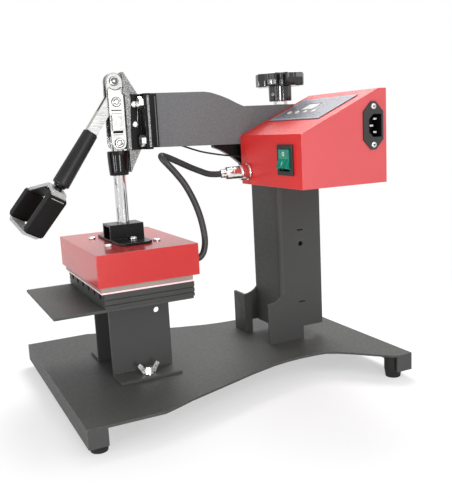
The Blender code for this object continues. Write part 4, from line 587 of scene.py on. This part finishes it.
# CAD nodes that keep their shape: look, bevel in millimetres, its segments and the nodes
FINISHES = (
    ("powder", 0.5, 2, ("base_plate", "column", "pedestal", "shelf_plate")),
    ("rubber", 0.6, 2, ("foot_fl", "foot_fr", "foot_rl", "foot_rr")),
    ("zinc", 0.3, 2, ("pivot_post",)),
    ("zinc", 0.5, 3, ("wing_screw_left", "wing_screw_right")),
    ("zinc", 0.4, 2, ("hex_bolt_ul", "hex_bolt_ur", "hex_bolt_ll", "hex_bolt_lr")),
    ("arm", 0.8, 2, ("arm",)),
    ("bracket_black", 0.5, 2, ("arm_hub", "front_bracket", "head_bracket")),
    ("casting", 0.8, 2, ("toggle_casting",)),
    ("fork", 0.6, 2, ("lever_fork",)),
    ("link", 0.5, 2, ("link_left", "link_right")),
    ("rod", 0.3, 2, ("plunger_rod",)),
    ("loop", 0.6, 2, ("stirrup",)),
    ("pad", 2.6, 5, ("hand_pad_left", "hand_pad_right")),
    ("red", 0.8, 3, ("head_cover",)),
    ("heater", 0.4, 2, ("heating_plate",)),
    ("silicone", 0.4, 2, ("silicone_pad",)),
    ("red_shell", 0.6, 2, ("box_shell",)),
    ("red_shell", 0.4, 2, ("box_side",)),
    ("film", 0.2, 2, ("panel_overlay",)),
    ("display", 0.0, 0, ("control_board",)),
    ("key", 0.3, 2, ("button_1", "button_2", "button_3", "button_4")),
    ("bezel", 0.6, 2, ("switch_bezel",)),
    ("rocker", 0.6, 2, ("rocker",)),
    ("inlet", 0.5, 2, ("mains_inlet",)),
)
for look, bevel, segments, names in FINISHES:
    for name in names:
        dress(name, look, bevel, segments)


# Lower platen: ribbed sides and six deep pen grooves across its top
def platen():
    low, top, half, rib_step = 119.5, 135.4, 77.0, 1.8
    front, back = -143.5, -44.5
    rib_shares = ((0.0, 0.22), (0.30, 0.57), (0.65, 1.0))
    groove_radius, groove_drop, pitch, count = 4.9, 3.4, 23.6, 6
    side = []
    for under, over in rib_shares:
        if side:
            side.append((half - rib_step, low + (top - low) * under))
        side += [(half, low + (top - low) * under), (half, low + (top - low) * over)]
        if over < 1.0:
            side.append((half - rib_step, low + (top - low) * over))
    top_edge = []
    for k in range(count):
        across = ((count - 1) / 2 - k) * pitch
        top_edge.append((across + groove_radius, top))
        top_edge += arc(across, top - groove_drop, groove_radius, 0.0, -math.pi, 12)
        top_edge.append((across - groove_radius, top))
    outline = side + top_edge + [(-x, z) for x, z in reversed(side)]
    piece("platen_block", slab(outline, "Y", front, back), "platen", "frame",
          replaces=["lower_platen"], bevel=0.4)


platen()

# Dark sheet inside the column: painted shade behind its hole and slots
piece("column_shade_sheet", slab(rect(102, 136, 52, 215), "X", 29.4, 30.4), "pit", "frame")

# Upper edge of the gusset, inside the arm's channel
piece("gusset_top", slab([(21.2, 273.3), (84.0, 273.3), (84.0, 278.0), (21.2, 278.6)], "X", -4.0, 4.0),
      "bracket_black", "swing_arm", bevel=0.3)


# Star knob: seven lobes with rounded rims, a fluted hub foot and a set screw
def star(angle, height, radius):
    """Share of the radius that the knob keeps at an angle."""
    lobes, crest, valley, crest_share, crest_dip = 7, 29.3, 22.5, 0.62, 0.012
    core, hub, foot_top, lobe_low, flute = 8.0, 16.0, 330.0, 341.0, 0.07
    if radius < core or (radius < hub and height > foot_top):
        return 1.0
    if height < lobe_low:
        return 1.0 - flute * abs(math.sin(lobes / 2 * angle)) ** 6
    swing = math.cos(lobes * angle)
    lobe = (valley + (crest - valley) * min(1.0, (0.5 + 0.5 * swing) / crest_share)) / crest
    return lobe - crest_dip * (swing > 0.75)


def star_knob():
    bore, hub, cup, rim = 6.2, 13.8, 14.9, 29.2
    hub_low, lobe_low, lobe_top, cup_floor = 323.6, 341.1, 356.45, 352.5
    profile = [(0, lobe_low + 1.3), (bore, lobe_low + 1.3), (bore, hub_low), (hub - 0.8, hub_low),
               (hub, hub_low + 0.8), (hub + 0.1, lobe_low - 0.2), (hub + 0.8, lobe_low),
               (rim - 1.3, lobe_low), (rim - 0.4, lobe_low + 0.4), (rim, lobe_low + 1.3),
               (rim, lobe_top - 1.55), (rim - 0.3, lobe_top - 0.65), (rim - 1.0, lobe_top - 0.15),
               (rim - 2.0, lobe_top), (cup + 1.3, lobe_top), (cup + 0.3, lobe_top - 0.25),
               (cup, lobe_top - 1.05), (cup - 0.2, cup_floor + 0.7), (cup - 0.9, cup_floor + 0.1),
               (bore - 0.2, cup_floor), (0, cup_floor)]
    piece("star_knob", lathe(profile, at(0, POST_Y, 0), segments=168, wobble=star), "knob",
          "clamp_knob_body", ["clamp_knob"], angle=30)
    screw_turn, screw_z = math.radians(20), 332
    screw = [(0, 10.0), (2.1, 10.0), (2.1, 13.7), (1.7, 14.0), (1.2, 14.0), (1.1, 12.6), (0, 12.6)]
    piece("knob_set_screw", lathe(screw, at(0, POST_Y, screw_z),
                                  (math.sin(screw_turn), -math.cos(screw_turn), 0), 24),
          "steel", "clamp_knob_body")


star_knob()


# Guide sleeve: a ring round the plunger that swells towards its top
def sleeve():
    bore, belly, low, high = 7.06, 11.78, 249.55, 276.35
    profile = [(bore, low), (9.6, low), (10.3, low + 0.35), (10.65, low + 1.15), (11.0, 255.0),
               (11.5, 263.0), (belly, 271.0), (belly, high - 1.45), (11.4, high - 0.45), (10.6, high),
               (bore, high)]
    piece("sleeve", lathe(profile, at(0, CLAMP_Y, 0), segments=64, ring=True), "gloss", "swing_arm",
          ["guide_sleeve"])


sleeve()

# Grip, measured down the handle's line from the crank pin
HANDLE_SLOPE = math.radians(54.4)
HANDLE_OFFSET = 4.5
GRIP_BORE = 5.85
GRIP_START = 42.1
GRIP_END = 107.75
along = Vector((0, -math.cos(HANDLE_SLOPE), -math.sin(HANDLE_SLOPE)))
beside = Vector((0, math.sin(HANDLE_SLOPE), -math.cos(HANDLE_SLOPE)))
handle = at(0, CLAMP_Y, CRANK_Z) - beside * HANDLE_OFFSET * MM


def grip():
    steps, first, swell = 8, 8.25, 1.2
    low, high = GRIP_START + 1.9, GRIP_END - 2.85
    profile = [(GRIP_BORE, GRIP_START), (7.0, GRIP_START), (7.8, GRIP_START + 0.4), (8.2, GRIP_START + 1.3)]
    profile += [(first + swell * k / steps, low + (high - low) * k / steps) for k in range(steps + 1)]
    profile += [(9.4, GRIP_END - 1.35), (8.9, GRIP_END - 0.35), (8.0, GRIP_END), (GRIP_BORE, GRIP_END)]
    piece("grip", lathe(profile, handle, along, 56, True), "grip", "lever", ["lever_grip"])


def loop_bolt():
    """Ball head of the loop's bolt with a collar against the grip."""
    seat_low, ball_radius, ball_rise, steps = 107.8, 5.3, 6.5, 16
    ball = [(ball_radius * math.sin(math.pi * k / steps),
             seat_low + ball_rise - ball_radius * math.cos(math.pi * k / steps)) for k in range(1, steps)]
    ball = [(0, seat_low + ball_rise - ball_radius)] + ball + [(0, seat_low + ball_rise + ball_radius)]
    piece("loop_bolt", lathe(ball, handle, along, 40), "gloss", "lever")
    collar = [(2.0, seat_low + 0.1), (6.6, seat_low + 0.1), (7.0, seat_low + 0.6), (6.6, seat_low + 1.8),
              (5.4, seat_low + 2.8), (2.0, seat_low + 2.8)]
    piece("grip_collar", lathe(collar, handle, along, 40, True), "gloss", "lever")


def loop_strip_and_rule():
    """Dark strip inside the loop's far shoulder, and the rule pressed across the near pad."""
    slope, twist, lean, grip_end = math.radians(60.6), math.radians(-16.2), math.radians(20.4), 107.8
    down = Vector((0, -math.cos(slope), -math.sin(slope)))
    twisted = Matrix.Rotation(twist, 4, down)
    normal = twisted @ Vector((0, math.sin(slope), -math.cos(slope)))
    leaning = Matrix.Rotation(lean, 4, normal)
    turn = frame_of(handle + along * grip_end * MM, leaning @ (twisted @ Vector((1, 0, 0))),
                    leaning @ down, normal)
    shoulder = [(-10.24, 11.39), (-31.84, 29.29), (-30.85, 30.49), (-9.25, 12.59)]
    piece("shoulder_dark_strip", slab(shoulder, "Z", -8.2, 8.2, turn), "pad", "lever", bevel=0.3)
    piece("pad_rule", slab(rect(13.9, 14.22, 12.4, 13.1), "Z", -7.8, 7.8, turn), "loop", "lever")


grip()
loop_bolt()
loop_strip_and_rule()


# Screws with round heads and a cross recess
def cross(reach, half, depth):
    """Recess of a cross-head screw."""
    def dent(x, y, height):
        inside = (abs(x) < half and abs(y) < reach) or (abs(y) < half and abs(x) < reach)
        return depth if inside and height > 0 else 0.0
    return dent


def pan_head(radius, height, shank, depth, rings=9):
    """Profile of a pan-head screw, its seat at height 0."""
    top = [(radius * k / rings, height * (1 - 0.35 * (k / rings) ** 2)) for k in range(1, rings)]
    return [(0, -depth), (shank, -depth), (shank, 0), (radius * 0.98, 0), (radius, height * 0.25),
            (radius * 0.96, height * 0.55)] + top[::-1] + [(0, height)]


HEAD_SCREWS = (
    ("head_screw_fl", -33, -123.0, 177.3), ("head_screw_fr", 33, -123.0, 177.3),
    ("head_screw_rl", -33, -68.0, 177.3), ("head_screw_rr", 33, -68.0, 177.3),
    ("plate_screw_left", -20, -90.5, 180.1), ("plate_screw_right", 20, -90.5, 180.1),
)
SHANK_END_Z = 145.1
for name, x, y, z in HEAD_SCREWS:
    piece("pan_" + name, lathe(pan_head(4.15, 2.35, 2.0, z - SHANK_END_Z), at(x, y, z),
                               dent=cross(2.6, 0.55, 1.1)), "zinc", "head", [name], angle=40)


# Pivot pins: a bright centre and a bright rim, with a dark ring of painted shade between
def ring_head(radius, hollow_in, hollow_out, rise=1.0):
    """Half profile of a ringed pin head, centre first."""
    half = [(0, 1.25), (hollow_in - 0.4, 1.25), (hollow_in - 0.1, 0.95), (hollow_in, 0.4), (hollow_out, 0.4),
            (hollow_out + 0.1, 1.0), (hollow_out + 0.4, 1.35), (radius - 0.7, 1.4), (radius - 0.2, 1.1),
            (radius, 0.6), (radius, 0.0)]
    return [(r, h * rise) for r, h in half]


def grooves(name, half, place, side, body, radius, hollow_in, hollow_out, rise=1.0):
    """Painted shade: a dark ring in a pin head's groove, and a shade line round the head."""
    rings = (("groove", "shade", rect(hollow_in, hollow_out, 0.42 * rise, 0.8 * rise)),
             ("outline", "pit", rect(radius + 0.05, radius + 0.4, 0.05, 0.35)))
    for tag, look, ring in rings:
        piece(name + "_" + tag, lathe([(r, half + h) for r, h in ring], place, (side, 0, 0), 40, True),
              look, body)


def pin(half, place, name, replaced, body, *sizes):
    """A pin across the clamp with a ringed head at each end."""
    shank = 3.5
    head = ring_head(*sizes)
    low = [(r, -half - h) for r, h in head]
    high = [(r, half + h) for r, h in head[::-1]]
    piece(name, lathe(low + [(shank, -half), (shank, half)] + high, place, (1, 0, 0)), "steel", body,
          [replaced], angle=30)
    for side in (-1, 1):
        grooves(name + ("_right" if side > 0 else "_left"), half, place, side, body, *sizes)


pin(6.6, at(0, CLAMP_Y, TOP_PIN_Z), "upper_pin", "top_pin", "swing_arm", 4.7, 1.7, 3.9)
pin(9.5, at(0, CLAMP_Y, CRANK_Z), "lower_pin", "crank_pin", "lever", 5.0, 2.4, 3.0)


# Fine parts on both sides of the clamp
def band(middle_z, inner, outer, start, end, steps=20):
    """Outline of a curved strip about a pivot of the clamp, angles in degrees from +Y towards +Z."""
    start, end = math.radians(start), math.radians(end)
    return (arc(CLAMP_Y, middle_z, inner, start, end, steps)
            + arc(CLAMP_Y, middle_z, outer, start, end, steps)[::-1])


def link_parts(side, tag):
    """Lower screw's head, painted shade lines above and below the raised block, and its ground face."""
    seat_x, radius = 10.85, 4.75
    place = at(0, CLAMP_Y, LINK_END_Z)
    sizes = (radius, 2.4, 3.1, 0.5)
    head = [(0, -0.6), (radius, -0.6)] + ring_head(*sizes)[::-1]
    piece("link_screw_" + tag, lathe(head, place + Vector((side * seat_x * MM, 0, 0)), (side, 0, 0)),
          "steel", "links", angle=30)
    grooves("link_screw_" + tag, seat_x, place, side, "links", *sizes)
    # painted shade: dark and grey lines above and below the raised block
    for part, look, low, high in (("top_shade", "pit", 319.4, 320.5), ("over", "shade", 316.2, 316.7),
                                  ("under", "pit", 295.4, 298.0), ("foot", "shade", 293.8, 294.3)):
        outline = round_corners(rect(CLAMP_Y - 6.1, CLAMP_Y + 5.3, low, high), 0.2)
        piece("link_" + part + "_" + tag, layer(outline, side, 8.9, 9.36), look, "links",
              bevel=0.05)
    block = round_corners(rect(CLAMP_Y - 5.5, CLAMP_Y + 5.5, 300.0, 314.0), 1.0)
    piece("block_face_" + tag, layer(block, side, 12.2, 12.6), "steel", "links", bevel=0.2)


def rim_lines(side, tag):
    """Shaded rims round the cheek's eye, the link's hollow and its lower end."""
    for part, body, near, middle_z, inner, outer, start, end in (
            ("cheek_rim", "lever", 6.2, TOP_PIN_Z, 8.25, 8.6, 20, 200),
            ("hollow_rim", "links", 9.05, TOP_PIN_Z, 9.2, 9.9, 224, 316),
            ("end_rim", "links", 9.05, LINK_END_Z, 7.2, 7.6, 190, 300)):
        piece(part + "_" + tag, layer(band(middle_z, inner, outer, start, end), side, near, near + 0.25),
              "pit", body, smooth=False)


def casting_parts(side, tag):
    """The casting's thick edge beside the links, its outer face and a painted shade line between them."""
    low, shoulder, top = 277.6, 343.5, 345.0
    front = CLAMP_Y + 8.8
    rib = [(front, low), (-80.5, low), (-80.5, 339.5), (front + 1.5, top), (front, shoulder)]
    piece("casting_rib_" + tag, layer(rib, side, 6.1, 9.35), "casting", "swing_arm",
          bevel=0.5)
    face = [(front, low), (-81.9, low), (-78.2, 332.0), (-79.6, 338.2), (front + 1.5, top), (front, shoulder)]
    piece("casting_face_" + tag, layer(face, side, 9.3, 9.75), "casting", "swing_arm",
          bevel=0.2)
    line = [(front + 0.1, 278.2), (front + 1.1, 278.2), (front + 1.1, 336.0), (front + 0.1, 337.5)]
    # painted shade: a dark line where the links meet the casting
    piece("rib_shade_line_" + tag, layer(line, side, 9.7, 9.85), "pit", "swing_arm")


def bracket_lines(side, tag):
    """End plate's speckled edge, a painted highlight along the ear's edge and the line where the clasp meets
    the arm.
    """
    edge = round_corners(rect(-64.9, -62.5, 279.0, 334.4), 0.6)
    piece("end_plate_edge_" + tag, layer(edge, side, 23.8, 24.35), "casting", "swing_arm",
          bevel=0.2)
    ear = [(-72.9, 300.5), (-72.3, 300.5), (-69.9, 333.4), (-70.5, 333.4)]
    # painted highlight: a bright steel strip along the black ear's edge
    piece("ear_highlight_" + tag, layer(ear, side, 9.2, 9.55), "steel", "swing_arm")
    piece("clasp_line_" + tag, layer(rect(-53.4, -52.4, 279.6, 333.6), side, 16.2, 16.5), "arm", "swing_arm")


for side, tag in ((-1, "left"), (1, "right")):
    link_parts(side, tag)
    rim_lines(side, tag)
    casting_parts(side, tag)
    bracket_lines(side, tag)


# Round-headed bolts through the bracket's ears
def ear_bolts():
    half, shank, flat, flat_rise = 9.6, 2.0, 0.9, 1.3
    dome = [(1.0, 1.95), (1.7, 1.9), (2.6, 1.65), (3.3, 1.15), (3.7, 0.45), (3.75, 0.0)]
    profile = [(0, -half - flat_rise), (flat, -half - flat_rise)] + [(r, -half - h) for r, h in dome]
    profile += [(shank, -half), (shank, half)]
    profile += [(r, half + h) for r, h in dome[::-1]] + [(flat, half + flat_rise), (0, half + flat_rise)]
    for tag in ("bolt_1", "bolt_2"):
        piece("socket_" + tag, lathe(profile, at(*seat("ear_" + tag)), (1, 0, 0), 36), "zinc", "swing_arm",
              ["ear_" + tag], angle=50)


ear_bolts()


# Cable gland at the head, round socket and plug at the box
def knurl(angle, height, radius):
    """Ripple of the plug's coupling ring."""
    return 1.0 + (0.022 * math.cos(30 * angle) if radius > 8.7 and -8.6 < height < -0.6 else 0.0)


def cable_fittings():
    gland = [(0, -3.4), (4.2, -3.4), (4.2, 0.3), (6.2, 0.3), (6.5, 0.7), (6.4, 2.0), (5.4, 3.1), (4.6, 3.25),
             (0, 3.25)]
    head_back = -39
    piece("gland", lathe(gland, at(GLAND_X, head_back, GLAND_Z), (0, 1, 0), 36), "rubber", "head",
          ["cable_gland"])
    socket = [(0, -3.0), (8.6, -3.0), (9.3, -2.7), (9.5, -2.2), (9.5, -0.4), (9.3, 0.0), (7.5, 0.0),
              (7.5, 12.0), (0, 12.0)]
    box_front = 51.3
    piece("round_socket", lathe(socket, at(CONNECTOR_X, box_front, CONNECTOR_Z), (0, 1, 0), 60), "nickel",
          "swing_arm", ["cable_socket"], angle=30)
    plug = [(0, -34.0), (4.4, -34.0), (4.9, -33.5), (5.0, -31.0), (4.5, -30.7), (4.5, -30.1), (5.0, -29.8),
            (5.0, -27.6), (6.4, -27.0), (7.0, -26.2), (7.2, -25.0), (7.2, -19.6), (6.8, -19.3), (6.8, -18.7),
            (7.2, -18.4), (7.2, -9.6), (7.6, -9.0), (8.5, -8.9), (9.0, -8.4), (9.0, -1.0), (8.7, -0.2),
            (7.4, 0.0), (0, 0.0)]
    plug_end = 48.0
    piece("round_plug", lathe(plug, at(CONNECTOR_X, plug_end, CONNECTOR_Z), (0, 1, 0), 120, wobble=knurl),
          "nickel", "swing_arm", ["cable_plug"], angle=30)


cable_fittings()


# Mains inlet: painted shade lining the socket, contact blades and two screws over the moulded body
def mains_inlet():
    floor_x, mouth_x, screw_x = 133.1, 148.6, 149.05
    wide, tall, chamfer, off_middle, thickness = 8.25, 12.0, 5.5, 2.2, 0.16
    middle_y, middle_z = INLET_Y + off_middle, INLET_Z
    mouth = [(chamfer - wide, -tall), (wide, -tall), (wide, tall), (chamfer - wide, tall),
             (-wide, tall - chamfer), (-wide, chamfer - tall)]
    # painted shade: a black sheet lining the socket's recess
    lining = bmesh.new()
    rows = [[lining.verts.new(at(x, middle_y + y * (1 - inset / wide), middle_z + z * (1 - inset / tall)))
             for y, z in mouth]
            for x, inset in ((floor_x + 0.05, 0.04), (mouth_x, 0.04), (mouth_x, thickness),
                             (floor_x + 0.25, thickness))]
    for first, second in zip(rows, rows[1:]):
        bridge(lining, first, second)
    lining.faces.new(rows[0])
    lining.faces.new(rows[-1][::-1])
    piece("inlet_recess_shade", lining, "pit", "swing_arm", smooth=False)
    blade_wide, blade_thick = 2.1, 1.1
    for k, (y, z) in enumerate(((3.1, -7.0), (-1.5, 0.0), (3.1, 7.0))):
        blade = rect(middle_y + y - blade_wide, middle_y + y + blade_wide,
                     middle_z + z - blade_thick, middle_z + z + blade_thick)
        piece("contact_" + str(k + 1), slab(round_corners(blade, 0.4), "X", floor_x + 0.3, floor_x + 11.7),
              "steel", "swing_arm", bevel=0.3)
    for k, z in enumerate((INLET_Z - 20, INLET_Z + 20)):
        piece("inlet_screw_" + str(k + 1),
              lathe(pan_head(3.1, 1.25, 1.6, 0.2), at(screw_x, INLET_Y, z), (1, 0, 0), 40,
                    dent=cross(1.9, 0.42, 0.6)), "zinc", "swing_arm", angle=40)


mains_inlet()


# Rocker marks: a ring above, a bar below, on the rocker's two faces
def rocker_marks():
    pivot = Matrix.Translation(at(116.5, 54.1, 258.8)) @ Matrix.Rotation(math.radians(-12), 4, "X")
    forward, off_middle, facet = 7.36, 5.2, math.radians(13.18)
    sunk, proud, half_height = -0.12, 0.3, 2.2
    for name, sign in (("mark_off", 1), ("mark_on", -1)):
        face = Vector((0, -math.cos(facet), -math.sin(facet) * sign))
        rise = Vector((0, -math.sin(facet) * sign, math.cos(facet)))
        spot = Vector((0, -forward * MM, off_middle * sign * MM))
        turn = pivot @ frame_of(spot, Vector((1, 0, 0)), rise, -face)
        if sign > 0:
            ring = rect(1.5, half_height, sunk, proud)
            bm = lathe(ring, Vector((0, 0, 0)), segments=32, ring=True)
            bmesh.ops.transform(bm, matrix=turn, verts=bm.verts)
        else:
            bm = slab(rect(-0.35, 0.35, -half_height, half_height), "Z", sunk, proud, turn)
        piece(name, bm, "mark", "rocker_body", smooth=False)


rocker_marks()

# Printed film: an outline and a frame round the display, on the box's slope
BOX_RISE, BOX_RUN = 43.1, 97.3
panel_angle = math.atan2(BOX_RISE, BOX_RUN)
film_turn = frame_of(at(0, 51.6, 285.4), Vector((1, 0, 0)),
                     Vector((0, math.cos(panel_angle), math.sin(panel_angle))),
                     Vector((0, -math.sin(panel_angle), math.cos(panel_angle))))


def frame_line(name, left, right, low, high, wide, look):
    """A thin printed frame on the film, as four strips."""
    under, over = 1.02, 1.14
    strips = ((left, right, low, low + wide), (left, right, high - wide, high),
              (left, left + wide, low + wide, high - wide), (right - wide, right, low + wide, high - wide))
    parts = [slab(rect(*strip), "Z", under, over, film_turn) for strip in strips]
    piece(name, merge(*parts), look, "swing_arm", smooth=False)


frame_line("film_border", 28.5, 128.0, 37.0, 88.9, 0.8, "film_line")
frame_line("display_frame", 58.7, 84.3, 59.2, 76.8, 1.1, "pit")


# Floor and world: white where they are seen or mirrored, softer where they only give light
def seen(tree):
    """1 for camera, mirror and see-through rays, 0 for the others."""
    rays = tree.nodes.new("ShaderNodeLightPath")
    out = rays.outputs["Is Camera Ray"]
    for kind in ("Is Glossy Ray", "Is Transmission Ray"):
        either = tree.nodes.new("ShaderNodeMath")
        either.operation = "MAXIMUM"
        tree.links.new(out, either.inputs[0])
        tree.links.new(rays.outputs[kind], either.inputs[1])
        out = either.outputs[0]
    return out


def mix_shaders(tree, factor, plain, chosen, target):
    """Go from one shader to another as the factor goes from 0 to 1."""
    blend = tree.nodes.new("ShaderNodeMixShader")
    tree.links.new(factor, blend.inputs[0])
    tree.links.new(plain, blend.inputs[1])
    tree.links.new(chosen, blend.inputs[2])
    tree.links.new(blend.outputs[0], target.inputs["Surface"])


def lay_floor():
    """A floor that keeps the press's shadow and turns plain white away from it."""
    near, far, near_share = 0.25, 0.70, 0.5
    mesh = bpy.data.meshes.new("floor")
    bm = bmesh.new()
    bmesh.ops.create_grid(bm, x_segments=1, y_segments=1, size=6.0)
    bm.to_mesh(mesh)
    bm.free()
    floor = bpy.data.objects.new("floor", mesh)
    bpy.context.scene.collection.objects.link(floor)
    ground = Look("floor", **{"Roughness": 0.9, "Specular IOR Level": 0.1})
    ground.colour(ground.mix(ground.noise(3.0, 2.0), grey(0.93), grey(0.95)))
    tree = ground.tree
    glow = tree.nodes.new("ShaderNodeEmission")
    glow.inputs["Strength"].default_value = 1.0
    length = tree.nodes.new("ShaderNodeVectorMath")
    length.operation = "LENGTH"
    tree.links.new(ground.place, length.inputs[0])
    fade = ground.spread(length.outputs["Value"], near, far, near_share, 1.0)
    mix_shaders(tree, ground.math("MULTIPLY", fade, seen(tree)), ground.shader.outputs[0], glow.outputs[0],
                tree.nodes["Material Output"])
    mesh.materials.append(ground.mat)


def light_world():
    """Soft fill, plain white behind."""
    world = bpy.data.worlds.new("world")
    bpy.context.scene.world = world
    world.use_nodes = True
    tree = world.node_tree
    fill = tree.nodes["Background"]
    plain = tree.nodes.new("ShaderNodeBackground")
    for node, strength in ((fill, 0.52), (plain, 1.0)):
        node.inputs["Color"].default_value = (*grey(1.0), 1.0)
        node.inputs["Strength"].default_value = strength
    mix_shaders(tree, seen(tree), fill.outputs[0], plain.outputs[0], tree.nodes["World Output"])


lay_floor()
light_world()


# Lamps
def lamp(name, place, target, size, power):
    """An area lamp facing a point: places and size in metres, power in watts."""
    data = bpy.data.lights.new(name, "AREA")
    data.shape = "RECTANGLE"
    data.size, data.size_y = size
    data.energy = power
    obj = bpy.data.objects.new(name, data)
    obj.location = place
    obj.rotation_mode = "QUATERNION"
    obj.rotation_quaternion = (Vector(target) - Vector(place)).to_track_quat("-Z", "Y")
    bpy.context.scene.collection.objects.link(obj)


lamp("key", (1.6, 0.3, 1.1), (0, 0, 0.2), (1.2, 1.2), 12)
lamp("over", (-0.55, 0.38, 1.15), (0, 0, 0.05), (0.7, 0.7), 13)
lamp("front", (0.2, -1.9, 0.7), (0, 0, 0.2), (1.0, 1.0), 4)
lamp("strip_left", (0.375, -1.02, 0.14), (0, 0, 0.26), (0.06, 0.4), 3)
lamp("strip_near", (0.70, -0.80, 0.14), (0, 0, 0.26), (0.04, 0.4), 2)
lamp("strip_right", (0.98, -0.09, 0.14), (0, 0, 0.26), (0.08, 0.4), 4)

bpy.context.scene.view_settings.view_transform = "Standard"
